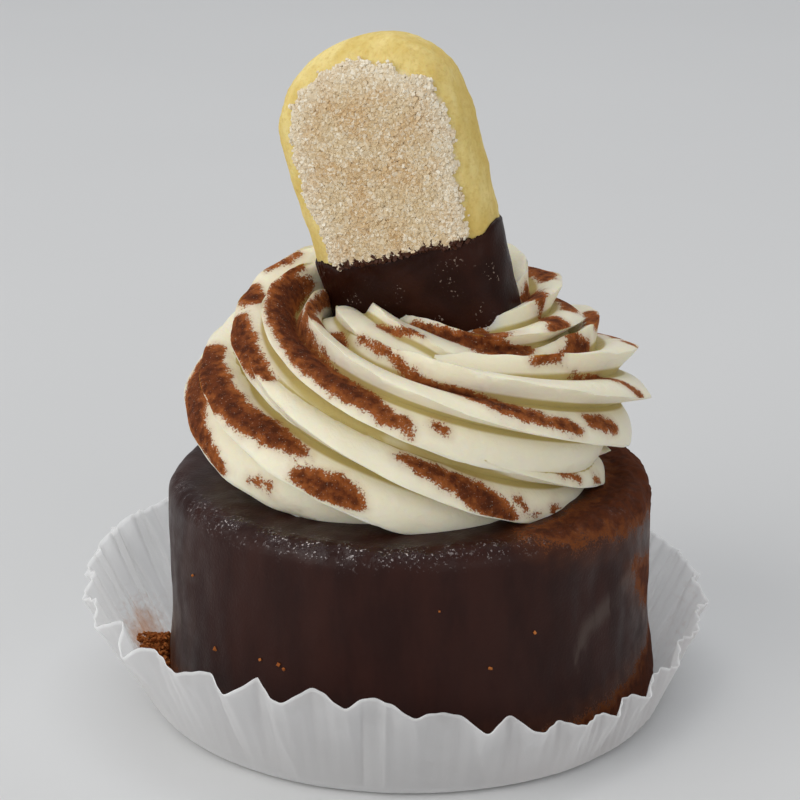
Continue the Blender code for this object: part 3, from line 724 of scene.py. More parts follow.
def rope_middle(turn):
    """Middle of the rope, and half its thickness, after so many turns."""
    path = knots_at(turn, ROPE_PATH)
    radius, height, thickness, centre_x = (path[..., i] for i in range(4))
    azimuth = math.radians(ROPE_START) - 2 * math.pi * turn
    middle = np.stack([centre_x + radius * np.cos(azimuth), radius * np.sin(azimuth), height], axis=-1)
    return middle + np.array([0.0, 0.0, CREAM_BOTTOM]), thickness


def sways(turn, number, rows):
    """Sine waves along the rope added up, with each ridge at its own phase."""
    return sum(height * np.sin(count * turn + phase * number) for count, phase, height in rows)


def rope_skin(turn, ridge, scale=1.0):
    """Points on the rope, by turns made and by ridge round it: a star of leaning ridges on the path.

    The nozzle isn't turned as it goes round, so the star turns about once round the rope in each turn.
    The ridges fade in the last turn, where the ladyfinger has pushed the cream together.
    """
    turn, ridge, scale = np.broadcast_arrays(turn, ridge, scale)
    step = 1e-3
    middle, thickness = rope_middle(turn)
    along = rope_middle(turn + step)[0] - rope_middle(turn - step)[0]
    along = along / np.linalg.norm(along, axis=-1, keepdims=True)
    up = np.array([0.0, 0.0, 1.0]) - along * along[..., 2:3]
    up = up / np.linalg.norm(up, axis=-1, keepdims=True)
    outward = np.cross(up, along)
    fade = 1 - RIDGE_FADE * np.clip((turn - RIDGE_FADE_START) / RIDGE_FADE_LENGTH, 0, 1)
    valley = np.interp(np.mod(ridge, 1.0), *np.array(RIDGE_SHAPE).T, period=1.0)
    number = np.floor(np.mod(ridge + 1e-9, ROPE_RIDGES))
    star = 1 - RIDGE_DEPTH * fade * valley * (1 + sways(turn, number, RIDGE_DRIFT))
    lip = np.exp(-((np.minimum(np.mod(ridge, 1.0), 1 - np.mod(ridge, 1.0)) / LIP_WIDTH) ** 2))
    angle = math.radians(RIDGE_TURN_START) + 2 * math.pi * (RIDGE_TURNS_PER_TURN * turn + ridge / ROPE_RIDGES)
    radius = thickness * scale * star + sways(turn, number, LIP_WANDER) * lip * fade
    return middle + outward * (radius * np.cos(angle))[..., None] + up * (radius * np.sin(angle))[..., None]


def rope_length(name, start, end, tuck_start, tuck_end):
    """One length of the rope. A tucked end shrinks inside its neighbour, so that the two join cleanly."""
    start -= ROPE_OVERLAP * tuck_start
    end += ROPE_OVERLAP * tuck_end
    turn = np.linspace(start, end, int(round((end - start) * ROPE_STEPS_PER_TURN)) + 1)
    scale = np.ones_like(turn)
    if tuck_start:
        scale[:2] = TUCK_SCALE, TUCK_NECK_SCALE
    if tuck_end:
        scale[-1] = TUCK_SCALE
    ridge = (np.arange(ROPE_RIDGES)[:, None] + np.array(RIDGE_SHAPE)[:, 0]).ravel()
    points, faces = closed_skin(rope_skin(turn[:, None], ridge[None, :], scale[:, None]))
    return add_mesh(name, points, faces)


def turned_rings(profile, azimuth):
    """Rings about the Z axis from rows of radius and height."""
    radius, height = np.array(profile, float).T
    x = radius[:, None] * np.cos(azimuth)
    y = radius[:, None] * np.sin(azimuth)
    return np.stack([x, y, np.broadcast_to(height[:, None], x.shape)], axis=-1)


def core():
    """Cream in the middle of the swirl, which the turns of the rope close over."""
    rows = [(CORE_RADIUS * r, CREAM_BOTTOM + CORE_HEIGHT * z) for r, z in CORE_PROFILE]
    azimuth = np.linspace(-math.pi, math.pi, 96, endpoint=False)
    return add_mesh("core", *closed_skin(turned_rings(rows, azimuth)))


def slab():
    """A disc under the cream's flat base, to cut off what the cake's top presses flat."""
    azimuth = np.linspace(-math.pi, math.pi, 48, endpoint=False)
    rows = ((SLAB_RADIUS, CAKE_TOP - SLAB_DEPTH), (SLAB_RADIUS, CAKE_TOP + SLAB_PROUD))
    return add_mesh("slab", *closed_skin(turned_rings(rows, azimuth)))


def boolean(target, operation, others):
    """Applies one Boolean with a collection of objects, then removes those objects."""
    tools = bpy.data.collections.new("tools")
    bpy.context.scene.collection.children.link(tools)
    for other in others:
        tools.objects.link(other)
        bpy.context.scene.collection.objects.unlink(other)
    cut = target.modifiers.new(operation, "BOOLEAN")
    cut.operation = operation
    cut.operand_type = "COLLECTION"
    cut.collection = tools
    cut.solver = "MANIFOLD"
    bpy.context.view_layer.update()
    with bpy.context.temp_override(object=target, active_object=target):
        bpy.ops.object.modifier_apply(modifier=cut.name)
    for other in others:
        bpy.data.objects.remove(other)
    bpy.data.collections.remove(tools)


def mesh_points(mesh):
    """The mesh's points in millimetres, and their normals."""
    points = np.empty(len(mesh.vertices) * 3, np.float32)
    normals = np.empty(len(mesh.vertices) * 3, np.float32)
    mesh.vertices.foreach_get("co", points)
    mesh.vertices.foreach_get("normal", normals)
    return points.reshape(-1, 3).astype(float) / MM, normals.reshape(-1, 3).astype(float)


def edge_ends(mesh):
    """The numbers of the points at both ends of every edge."""
    ends = np.empty(len(mesh.edges) * 2, np.int32)
    mesh.edges.foreach_get("vertices", ends)
    return ends.reshape(-1, 2).T


def largest_shell(made, name, sharp):
    """The largest shell of an object's mesh as a new object: the others bound voids between the turns.

    Each point takes the lowest number among its neighbours, again and again, until a shell shares one.
    """
    mesh = made.data
    a, b = edge_ends(mesh)
    label = np.arange(len(mesh.vertices))
    while True:
        low = np.minimum(label[a], label[b])
        spread = label.copy()
        np.minimum.at(spread, a, low)
        np.minimum.at(spread, b, low)
        spread = spread[spread]
        if np.array_equal(spread, label):
            break
        label = spread
    points, _ = mesh_points(mesh)
    kept = label == np.bincount(label).argmax()
    number = np.cumsum(kept) - 1
    faces = [[number[i] for i in face.vertices] for face in mesh.polygons if kept[face.vertices[0]]]
    whole = add_mesh(name, points[kept], faces, sharp)
    bpy.data.objects.remove(made)
    return whole


def hollows(mesh, points, normals, rounds):
    """How far each point lies below the smoothed surface about it: more in valleys, negative on ridges.

    In each round every point moves half the way to the mean of its neighbours.
    """
    a, b = edge_ends(mesh)
    count = len(points)
    neighbours = np.bincount(a, minlength=count) + np.bincount(b, minlength=count)
    smooth = points
    for _ in range(rounds):
        total = [np.bincount(a, smooth[b, i], count) + np.bincount(b, smooth[a, i], count) for i in range(3)]
        smooth = 0.5 * smooth + 0.5 * np.stack(total, axis=1) / np.maximum(neighbours, 1)[:, None]
    return ((smooth - points) * normals).sum(1)


def back_bands():
    """Bands of cocoa behind the swirl, each along one flank that faces up."""
    draw = np.random.default_rng(BACK_SEED)
    bands = []
    for _ in range(BACK_BANDS):
        turn = draw.choice([0.0, 1.0]) + draw.uniform(*BACK_TURNS)
        facing = draw.uniform(*BACK_FACINGS)
        ridge = (facing - RIDGE_TURN_START) * ROPE_RIDGES / 360 - ROPE_RIDGES * RIDGE_TURNS_PER_TURN * turn
        ridge = math.floor(ridge % ROPE_RIDGES) + draw.uniform(*BACK_FLANK)
        long, half = draw.uniform(*BACK_LENGTHS), draw.uniform(*BACK_WIDTHS)
        ends = [(turn + way, ridge, 0.5 * half) for way in (-long, long)]
        bands.append((ends[0], (turn, ridge, half), ends[1]))
    return bands


def cream_swirl(pocket):
    """The swirl: lengths of rope and the core joined, flat below, with a pocket for the ladyfinger."""
    first, second = ROPE_SPLITS
    swirl = rope_length("rope", ROPE_PATH[0][0], first, False, True)
    middle = rope_length("rope_middle", first, second, True, True)
    last = rope_length("rope_last", second, ROPE_PATH[-1][0], True, False)
    boolean(swirl, "UNION", [middle, last, core()])
    boolean(swirl, "DIFFERENCE", [slab(), pocket])
    piece = largest_shell(swirl, "piped_cream", CREAM_SHARP_ANGLE)
    points, normals = mesh_points(piece.data)
    lines = [band_line(rope_skin, rows) for rows in (*CREAM_COCOA, *back_bands())]
    depth = depth_in_bands(points, lines) - SHELTER * np.clip(SHELTER_SLOPE - normals[:, 2], 0, 1)
    mark(piece, "cocoa", np.clip(depth, -COCOA_REACH, COCOA_REACH))
    # How deep each point lies in a valley, for the painted shade in the cream's valleys.
    valley = hollows(piece.data, points, normals, VALLEY_ROUNDS)
    mark(piece, "valley", np.clip(valley / VALLEY_DEPTH, -1, 1))
    return piece


def cream_material():
    """Ivory whipped cream: soft, faintly rough, with painted shade that makes its valleys darker and
    yellower, and with cocoa on it.
    """
    made, tree, shader, place = start_material(
        "whipped_cream",
        IOR=1.45,
        Specular_IOR_Level=0.25,
        Subsurface_Weight=0.4,
        Subsurface_Radius=(1.0, 0.66, 0.24),
        Subsurface_Scale=0.0013,
    )
    amount, powder, grains = cocoa_on(tree, place, attribute(tree, "cocoa"), CREAM_FRINGE)
    cream = blend_colours(tree, noise(tree, place, 6.0, 2.0), CREAM_SHADE, CREAM_LIGHT)
    # Painted shade: darker, yellower cream in the valleys.
    cream = blend_colours(tree, ramp(tree, attribute(tree, "valley"), -0.02, 0.4), cream, CREAM_VALLEY_SHADE)
    coloured = blend_colours(tree, amount, cream, powder)
    feed(tree, shader, Base_Color=coloured, Roughness=ramp(tree, amount, 0.0, 1.0, 0.42, 1.0))
    height = sums(tree, "MULTIPLY_ADD", grains, 0.8, noise(tree, place, 1.6, 4.0, 0.6))
    add_bump(tree, shader, height, 0.5, 0.4)
    return made


# Ladyfinger: half a sponge finger, pushed into the cream, leaning left and turned to show its right side.
# It is a pale yellow baked sponge with fine pores. Its foot was dipped in chocolate before that.
FINGER_FOOT = (5.4, 0.3, 46.5)
FINGER_LEAN_LEFT = 15.0
FINGER_LEAN_BACK = 1.5
FINGER_TURN = 22.0
FINGER_LENGTH = 52.8
FINGER_WIDTH_TOP = 29.8
FINGER_WIDTH_FOOT = 25.8
FINGER_THICKNESS = 14.0
FINGER_SQUARENESS = 2.8
FINGER_END = 15.0
FINGER_END_SLANT = 0.09
# Powers of the curves by which the end closes, across its width and through its thickness.
END_WIDTH_POWERS, END_DEPTH_POWER = (2.4, 0.45), 3
DIP_TOP = 23.3
DIP_PROUD = 0.2
DIP_SLANT = 0.1
DIP_RAGGED = 0.45
DIP_WAVES = ((5, 0.6, 1.0), (11, 0.4, 0.0))
DIP_SAG = 1.1
POCKET_BELOW, POCKET_TIGHTER = 0.9, 0.05


def finger_matrix():
    """Turn of the ladyfinger's frame: about its own axis, then leaning left, then leaning back."""
    back, left, turn = (math.radians(-a) for a in (FINGER_LEAN_BACK, FINGER_LEAN_LEFT, FINGER_TURN))
    about_x = [[1, 0, 0], [0, math.cos(back), -math.sin(back)], [0, math.sin(back), math.cos(back)]]
    about_y = [[math.cos(left), 0, math.sin(left)], [0, 1, 0], [-math.sin(left), 0, math.cos(left)]]
    about_z = [[math.cos(turn), -math.sin(turn), 0], [math.sin(turn), math.cos(turn), 0], [0, 0, 1]]
    return np.array(about_x) @ np.array(about_y) @ np.array(about_z)


finger_turned = finger_matrix()


def finger_place(points):
    """Moves points from the ladyfinger's own upright frame to its place in the cream."""
    return points @ finger_turned.T + np.array(FINGER_FOOT)


def half_sizes(station, grow=0.0):
    """Half the ladyfinger's width and half its thickness at a station, and how far that is past its end."""
    share = np.clip(station / FINGER_LENGTH, 0, 1)
    width = FINGER_WIDTH_FOOT + (FINGER_WIDTH_TOP - FINGER_WIDTH_FOOT) * np.sin(0.5 * math.pi * share)
    past = np.clip((station - (FINGER_LENGTH - FINGER_END)) / (FINGER_END + grow), 0, 1)
    inner, outer = END_WIDTH_POWERS
    half_width = (0.5 * width + grow) * (1 - past**inner) ** outer
    half_depth = (0.5 * FINGER_THICKNESS + grow) * np.sqrt(1 - past**END_DEPTH_POWER)
    return half_width, half_depth, past


def finger_skin(station, angle, grow=0.0, raised=0.0):
    """Points on the ladyfinger's skin, or a distance outside it, in its own upright frame.

    station runs up the ladyfinger and angle round it, with the sugared face at 90 degrees, towards -Y.
    The section is a squared oval, and the upper end closes in a dome that is fuller on the right.
    raised moves a point straight away from the middle line.
    """
    station, angle, grow, raised = np.broadcast_arrays(station, angle, grow, raised)
    half_width, half_depth, past = half_sizes(station, grow)
    power = 2 / FINGER_SQUARENESS
    side = np.sign(np.cos(angle)) * np.abs(np.cos(angle)) ** power
    front = np.sign(np.sin(angle)) * np.abs(np.sin(angle)) ** power
    x = half_width * side + raised * np.cos(angle)
    y = -half_depth * front - raised * np.sin(angle)
    return np.stack([x, y, station + FINGER_END_SLANT * x * past + raised * past**2], axis=-1)


def dip_edge(angle):
    """Where the chocolate ends, measured up the ladyfinger: a little lower in front, and ragged."""
    sag = DIP_SAG * np.clip(np.sin(angle), 0, 1) ** 0.6
    return DIP_TOP + DIP_SLANT * np.cos(angle) + DIP_RAGGED * waves_round(angle, DIP_WAVES) - sag


def pocket():
    """The room that the dipped foot takes in the cream, which hugs the chocolate."""
    angle = np.linspace(0, 2 * math.pi, 160, endpoint=False)
    station = np.linspace(-POCKET_BELOW, DIP_TOP, 30)
    rings = finger_skin(station[:, None], angle[None, :], DIP_PROUD - POCKET_TIGHTER)
    return add_mesh("pocket", *closed_skin(finger_place(rings)))


dress(cream_swirl(pocket()), cream_material(), "cream_swirl")

# Outline of the sugared plate on the front: across the ladyfinger, and up it.
PLATE = (
    (-8.8, 20.0), (-9.1, 23.5), (-9.6, 26.0), (-10.0, 29.0), (-10.6, 33.0), (-10.7, 37.0), (-10.5, 41.0),
    (-9.5, 45.0), (-8.6, 46.4), (-7.6, 47.5), (-5.9, 48.3), (-4.0, 49.1), (-1.9, 49.8), (0.2, 49.9),
    (2.7, 49.7), (5.0, 48.8), (7.3, 47.6), (8.3, 46.5), (9.9, 45.7), (11.2, 44.9), (11.9, 43.2),
    (12.4, 41.0), (12.7, 39.1), (12.9, 37.0), (12.2, 33.6), (11.9, 30.8), (11.6, 28.3), (11.3, 23.5),
    (11.2, 20.0),
)
PLATE_RAGGED = (0.35, 2.4)
PLATE_MARGIN = 4.0
CRUST, CRUST_SLOPE = 0.38, 0.7
CRUST_RELIEF = ((0.07, 1.1, 34),)
SPONGE_RELIEF = ((0.12, 6.0, 31), (0.05, 1.6, 32))
SPONGE_COLUMNS = 220
# How far the sponge's skin lies inside its smooth form, and inside it under the chocolate.
SPONGE_SUNK, SPONGE_UNDER_DIP = 0.12, 0.5
SPONGE_CLEAR = 0.05
DOME_HEIGHT = 6.0
# Chocolate in the sugar: the height of its broad and of its fine teeth.
SOAK_TEETH = (0.7, 0.4)
SPONGE_DARK = (0.72, 0.53, 0.16, 1)
SPONGE_LIGHT = (0.86, 0.70, 0.29, 1)
SPONGE_PORE_SHADE = (0.58, 0.38, 0.08, 1)
UNDER_SUGAR_PALE = (0.80, 0.64, 0.41, 1)
UNDER_SUGAR_BAKED = (0.74, 0.54, 0.30, 1)
UNDER_SUGAR_MARGIN = (0.86, 0.77, 0.60, 1)
SPONGE_SOAKED = (0.050, 0.020, 0.011, 1)


def plate_depth(x, station):
    """How far inside the plate's outline a place on the front lies, negative outside.

    The way to the nearest side, with its sign from the number of sides crossed going across.
    """
    place = np.stack([x.ravel(), station.ravel()], axis=1)[:, None, :]
    start = np.array(PLATE)[None]
    end = np.roll(start, -1, axis=1)
    side = end - start
    share = np.clip(((place - start) * side).sum(2) / (side**2).sum(2), 0, 1)
    apart = np.linalg.norm(place - start - share[..., None] * side, axis=2).min(1)
    between = (start[..., 1] > place[..., 1]) != (end[..., 1] > place[..., 1])
    rise = np.where(side[..., 1] == 0, 1.0, side[..., 1])
    crossing = start[..., 0] + side[..., 0] * (place[..., 1] - start[..., 1]) / rise
    inside = (between & (place[..., 0] < crossing)).sum(1) % 2 == 1
    return np.where(inside, apart, -apart).reshape(x.shape)


def chocolate_reach(x, station, angle):
    """How far below the ragged line to which chocolate has soaked up the sugar a place lies.

    The line has broad uneven teeth with fine ones on them.
    """
    broad = np.sin(1.7 * x + 1.4 * np.sin(0.9 * x)) ** 2
    fine = np.abs(np.sin(3.9 * x + 1.0))
    return dip_edge(angle) - 0.1 + SOAK_TEETH[0] * broad + SOAK_TEETH[1] * fine - station


def ladyfinger():
    """The sponge: a soft uneven skin, raised under the sugar, and slimmer where it is dipped."""
    angle = np.linspace(0, 2 * math.pi, SPONGE_COLUMNS, endpoint=False)[None, :]
    low = np.linspace(0.0, DIP_TOP - 3.0, 12)
    rise = np.linspace(DIP_TOP - 2.0, FINGER_LENGTH - DOME_HEIGHT, 78)
    dome = FINGER_LENGTH - DOME_HEIGHT * (1 - np.sin(np.linspace(0.04, 0.5 * math.pi - 0.03, 26)))
    station = np.concatenate([low, rise, dome])[:, None]
    smooth = finger_skin(station, angle)
    raised = relief(smooth, SPONGE_RELIEF) - SPONGE_SUNK
    raised = raised * np.clip((FINGER_LENGTH - station) / 3.0, 0, 1) - SPONGE_CLEAR
    inside = plate_depth(smooth[..., 0], np.broadcast_to(station, smooth.shape[:2]))
    inside = inside + relief(smooth, [(*PLATE_RAGGED, 33)])
    inside = np.where(np.sin(angle) > 0.05, inside, -9.0)
    above = np.clip((station - dip_edge(angle) + 0.1) / 0.5, 0, 1)
    crust = np.clip(inside / CRUST_SLOPE + 0.5, 0, 1) * above
    raised = raised + crust * (CRUST + relief(smooth, CRUST_RELIEF))
    raised = np.where(station < DIP_TOP - 2.5, -SPONGE_UNDER_DIP, raised)
    points, faces = closed_skin(finger_place(finger_skin(station, angle, 0.0, raised)))
    piece = add_mesh("sponge_finger", points, faces)
    soaked = np.clip(chocolate_reach(smooth[..., 0], station, angle) / 0.25 + 0.5, 0, 1) * (crust > 0.02)
    margin = 1 - np.clip(inside / PLATE_MARGIN, 0, 1)
    for name, values in (("sugared", crust), ("margin", margin), ("soaked", soaked)):
        mark(piece, name, np.append(values, [0.0, 0.0]))
    return piece


def sponge_material():
    """Pale yellow sponge with a fine crumb and painted shade in its pores, paler under the sugar, dark where
    chocolate has soaked in.
    """
    made, tree, shader, place = start_material(
        "baked_sponge",
        Roughness=0.85,
        Specular_IOR_Level=0.2,
        Subsurface_Weight=0.2,
        Subsurface_Radius=(1.0, 0.6, 0.2),
        Subsurface_Scale=0.0012,
    )
    cloud = ramp(tree, noise(tree, place, 5.0, 4.0, 0.6, (1.0, 1.0, 0.5)), 0.35, 0.65)
    sponge = blend_colours(tree, cloud, SPONGE_DARK, SPONGE_LIGHT)
    crumb = noise(tree, place, 0.7, 4.0, 0.7)
    # Painted shade: darker colour where the crumb's relief dips, in its pores.
    pore_shade = sums(tree, "MULTIPLY", ramp(tree, crumb, 0.55, 0.3), 0.45)
    sponge = blend_colours(tree, pore_shade, sponge, SPONGE_PORE_SHADE)
    baked = ramp(tree, noise(tree, place, 4.5, 2.0), 0.35, 0.65)
    under = blend_colours(tree, baked, UNDER_SUGAR_PALE, UNDER_SUGAR_BAKED)
    margin = sums(tree, "MULTIPLY", attribute(tree, "margin"), 0.6)
    under = blend_colours(tree, margin, under, UNDER_SUGAR_MARGIN)
    shade = blend_colours(tree, attribute(tree, "sugared"), sponge, under)
    shade = blend_colours(tree, attribute(tree, "soaked"), shade, SPONGE_SOAKED)
    feed(tree, shader, Base_Color=shade)
    add_bump(tree, shader, crumb, 0.6, 0.2)
    return made


dress(ladyfinger(), sponge_material(), "ladyfinger")

# Sugar: fine crystals baked on to the front of the sponge as a dense crust. They stop short of the
# sponge's edges, and the lowest ones have drawn up chocolate from the dip.
CRYSTALS = 14500
CRYSTAL_SEED = 41
CRYSTAL_SIZE, CRYSTAL_SIZES = 0.46, (0.6, 1.35)
CRYSTAL_SIDES = (0.35, 0.62)
CORNER_SHIFTS = (-0.28, 0.12)
CRYSTAL_SHARP_ANGLE = 20.0
BOX_CORNERS = [(x, y, z) for x in (-1, 1) for y in (-1, 1) for z in (-1, 1)]
BOX_SIDES = ((0, 1, 3, 2), (4, 6, 7, 5), (0, 4, 5, 1), (2, 3, 7, 6), (0, 2, 6, 4), (1, 5, 7, 3))
# Share of the crust's height at which the crystals sit, and how far they stray from it.
CRYSTAL_SEAT, CRYSTAL_STRAY = 0.8, 0.08
SUGAR_PALE = (0.70, 0.555, 0.345, 1)
SUGAR_BAKED = (0.66, 0.47, 0.25, 1)
SUGAR_WHITE_AND_HIGHLIGHT = (0.88, 0.81, 0.67, 1)
SUGAR_SOAKED = (0.065, 0.0200, 0.0095, 1)


def on_front(x, station, raised):
    """Points over the ladyfinger's front face, from a place across it and a station up it."""
    half_width, _, _ = half_sizes(station)
    across = np.clip(x / np.maximum(half_width, 0.1), -0.999, 0.999)
    angle = np.arccos(np.sign(across) * np.abs(across) ** (FINGER_SQUARENESS / 2))
    return finger_skin(station, angle, 0.0, raised), angle


def crystal_mesh(name, middles, sizes, seed):
    """One joined mesh of crystals: boxes with uneven corners, each turned its own way."""
    draw = np.random.default_rng(seed)
    count = len(middles)
    lengths = sizes[:, None] * draw.uniform(*CRYSTAL_SIDES, (count, 3))
    corners = np.array(BOX_CORNERS) * (1 + draw.uniform(*CORNER_SHIFTS, (count, 8, 3))) * lengths[:, None, :]
    turn, _ = np.linalg.qr(draw.normal(size=(count, 3, 3)))
    turn *= np.sign(np.linalg.det(turn))[:, None, None]
    points = np.einsum("nij,nkj->nki", turn, corners) + middles[:, None, :]
    faces = (np.array(BOX_SIDES) + 8 * np.arange(count)[:, None, None]).reshape(-1, 4)
    piece = add_mesh(name, points.reshape(-1, 3), faces.tolist(), CRYSTAL_SHARP_ANGLE)
    mark(piece, "tone", np.repeat(draw.uniform(0, 1, count), 8))
    return piece


def sugar():
    """The crust's crystals, inside the plate's outline with a ragged edge, fewer where chocolate soaks up."""
    draw = np.random.default_rng(CRYSTAL_SEED)
    low, high = np.array(PLATE).min(0) - 1, np.array(PLATE).max(0) + 1
    x, station = draw.uniform(low, high, (2 * CRYSTALS, 2)).T
    flat = np.stack([x, 0 * x, station], axis=1)
    inside = plate_depth(x, station) + relief(flat, [(*PLATE_RAGGED, 42)]) + 0.25 * draw.normal(size=len(x))
    seat = CRYSTAL_SEAT * CRUST * np.clip(inside / CRUST_SLOPE + 0.5, 0, 1)
    points, angle = on_front(x, station, seat + CRYSTAL_STRAY * draw.uniform(-1, 1, len(x)))
    reach = chocolate_reach(x, station, angle)
    dry = (reach < 0.1) | (draw.uniform(size=len(x)) < 0.4)
    kept = np.flatnonzero((inside > 0) & (station > dip_edge(angle) - 0.2) & dry)[:CRYSTALS]
    sizes = CRYSTAL_SIZE * draw.uniform(*CRYSTAL_SIZES, len(kept))
    piece = crystal_mesh("sugar_crystals", finger_place(points[kept]), sizes, CRYSTAL_SEED + 1)
    mark(piece, "margin", np.repeat(1 - np.clip(inside[kept] / PLATE_MARGIN, 0, 1), 8))
    mark(piece, "soaked", np.repeat(reach[kept] + draw.normal(0, 0.12, len(kept)) > 0, 8))
    return piece


def sugar_material():
    """Sugar crystals: pale and soft-lit, some tinted by the baking, whiter towards the crust's edges and with
    painted highlights on a few, the lowest brown with chocolate.
    """
    made, tree, shader, place = start_material("sugar", Roughness=0.45, IOR=1.5, Specular_IOR_Level=0.3)
    baked = ramp(tree, noise(tree, place, 4.5, 2.0), 0.35, 0.65)
    crystal = blend_colours(tree, baked, SUGAR_PALE, SUGAR_BAKED)
    # Painted highlights: a few crystals, chosen at random, are painted whiter; the crust's edges are paler as
    # well.
    highlighted = sums(tree, "POWER", attribute(tree, "tone"), 2.5)
    pale = sums(tree, "MULTIPLY_ADD", attribute(tree, "margin"), 0.6, highlighted)
    crystal = blend_colours(tree, sums(tree, "MULTIPLY", pale, 0.85), crystal, SUGAR_WHITE_AND_HIGHLIGHT)
    crystal = blend_colours(tree, attribute(tree, "soaked"), crystal, SUGAR_SOAKED)
    feed(tree, shader, Base_Color=crystal)
    return made


dress(sugar(), sugar_material(), "ladyfinger")

# Crumbs: loose cocoa that has slid into the gap between the cake's foot and the paper, mostly on the
# left, and a few single crumbs that stick to the coating in front.
CRUMBS, STREWN_CRUMBS = 3600, 600
CRUMB_SEED = 61
CRUMB_SIZES = (0.25, 0.5)
# Azimuths in degrees: the middle and spread of the crumbs on the left, the ends of the strewn ones, and the
# middle and half width of the heap.
CRUMB_AZIMUTH, CRUMB_SPREAD, STREWN_AZIMUTHS = -176, 8, (-70, 0)
HEAP_AZIMUTH, HEAP_WIDTH = 183, 12
CRUMB_LOWEST, CRUMB_HEIGHT, HEAP_HEIGHT = 0.8, 0.6, 6.5
# Radii between which the crumbs lie, and how far the heap leans out with its height.
CRUMB_RADII, HEAP_LEAN = (36.2, 37.3), 0.45
# Single crumbs: azimuth in degrees, height and size.
STUCK_CRUMBS = (
    (-140.0, 15.0, 0.48), (-126.0, 16.0, 0.38), (-121.0, 16.0, 0.48), (-119.6, 15.5, 0.40),
    (-61.5, 21.0, 0.42), (-72.5, 17.0, 0.42), (-98.0, 12.0, 0.30), (-150.0, 24.0, 0.28),
    (-84.0, 26.0, 0.28), (-110.0, 9.0, 0.32),
)
CRUMB_DARK = (0.38, 0.115, 0.030, 1)
CRUMB_LIGHT = (0.58, 0.200, 0.055, 1)


def crumbs():
    """Crumbs heaped on the left, lower towards the heap's ends, with some strewn in front on the right."""
    draw = np.random.default_rng(CRUMB_SEED)
    azimuth = draw.normal(CRUMB_AZIMUTH, CRUMB_SPREAD, CRUMBS)
    azimuth[-STREWN_CRUMBS:] = draw.uniform(*STREWN_AZIMUTHS, STREWN_CRUMBS + 1)[:-1]
    heap = np.exp(-(((np.mod(azimuth, 360) - HEAP_AZIMUTH) / HEAP_WIDTH) ** 2))
    height = CRUMB_LOWEST + (CRUMB_HEIGHT + HEAP_HEIGHT * heap) * draw.uniform(0, 1, CRUMBS) ** 1.2
    inner, outer = CRUMB_RADII
    radius = between(draw.uniform(0, 1, CRUMBS), (inner, outer + HEAP_LEAN * height * heap))
    azimuth = np.radians(azimuth)
    x = CASE_CENTRE[0] + radius * np.cos(azimuth)
    y = CASE_CENTRE[1] + radius * np.sin(azimuth)
    azimuth, stuck_height, stuck_size = np.array(STUCK_CRUMBS).T
    stuck = cake_skin(np.radians(azimuth), stuck_height, 0.1)
    middles = np.concatenate([np.stack([x, y, height], axis=1), stuck])
    sizes = np.concatenate([draw.uniform(*CRUMB_SIZES, CRUMBS), stuck_size])
    return crystal_mesh("cocoa_crumbs", middles, sizes, CRUMB_SEED + 1)


def crumb_material():
    """Loose cocoa: rusty brown, matt."""
    made, tree, shader, _ = start_material("cocoa_crumbs", Roughness=1.0, Specular_IOR_Level=0.1)
    feed(tree, shader, Base_Color=blend_colours(tree, attribute(tree, "tone"), CRUMB_DARK, CRUMB_LIGHT))
    return made


dress(crumbs(), crumb_material(), "cake")

# Chocolate dip: a thin coat of dark chocolate round the ladyfinger's foot. It ran up between the sugar
# crystals, so its edge is ragged in front, and it set satin with a few pimples that carry painted highlights.
DIP_WALL = 0.6
DIP_COLUMNS = 360
# How far the coat's underside and the floor inside it lie below the ladyfinger's foot.
COAT_BELOW, COAT_FLOOR_BELOW = 0.9, 0.3
COAT_RELIEF, COAT_GRAIN = ((0.10, 5.0, 52),), ((0.09, 1.0, 51),)
COAT_TEETH = 0.3
COAT_EDGE_ROUNDING = 0.25
DIP_DARK = (0.017, 0.0040, 0.0018, 1)
DIP_LIGHT = (0.030, 0.0080, 0.0040, 1)
DIP_GLINT = (0.36, 0.27, 0.22, 1)


def chocolate_dip():
    """The coat: from its underside up its outside to the ragged edge, and back down inside."""
    angle = np.linspace(0, 2 * math.pi, DIP_COLUMNS, endpoint=False)[None, :]
    inner = DIP_PROUD - DIP_WALL
    in_front = np.clip((np.sin(angle) - 0.3) / 0.3, 0, 1)
    teeth = np.abs(np.sin(23 * angle + 2 * np.sin(7 * angle))) + 0.6 * np.abs(np.sin(41 * angle + 1.0))
    edge = dip_edge(angle) + in_front * (COAT_TEETH * teeth - 0.2)
    rise = np.linspace(0, 1, 46)[:, None] ** 0.8
    outside = finger_skin(edge * rise, angle, DIP_PROUD)
    near_edge = np.clip((rise - 0.78) / 0.2, 0, 1)
    grainy = relief(outside, COAT_GRAIN) * near_edge * in_front
    raised = (relief(outside, COAT_RELIEF) + grainy) * np.clip((1 - rise) / 0.03, 0, 1)
    raised = raised - COAT_EDGE_ROUNDING * np.clip((rise - 0.985) / 0.015, 0, 1)
    outside = finger_skin(edge * rise, angle, DIP_PROUD, raised)
    inside = finger_skin(edge * np.array([[0.99], [0.8], [0.5], [0.1]]), angle, inner)
    foot = finger_skin(0.0, angle, inner)
    underside = foot - np.array([0.0, 0.0, COAT_BELOW])
    floor = foot - np.array([0.0, 0.0, COAT_FLOOR_BELOW])
    rings = np.concatenate([underside, outside, inside, floor])
    return add_mesh("dark_chocolate_coat", *closed_skin(finger_place(rings)))


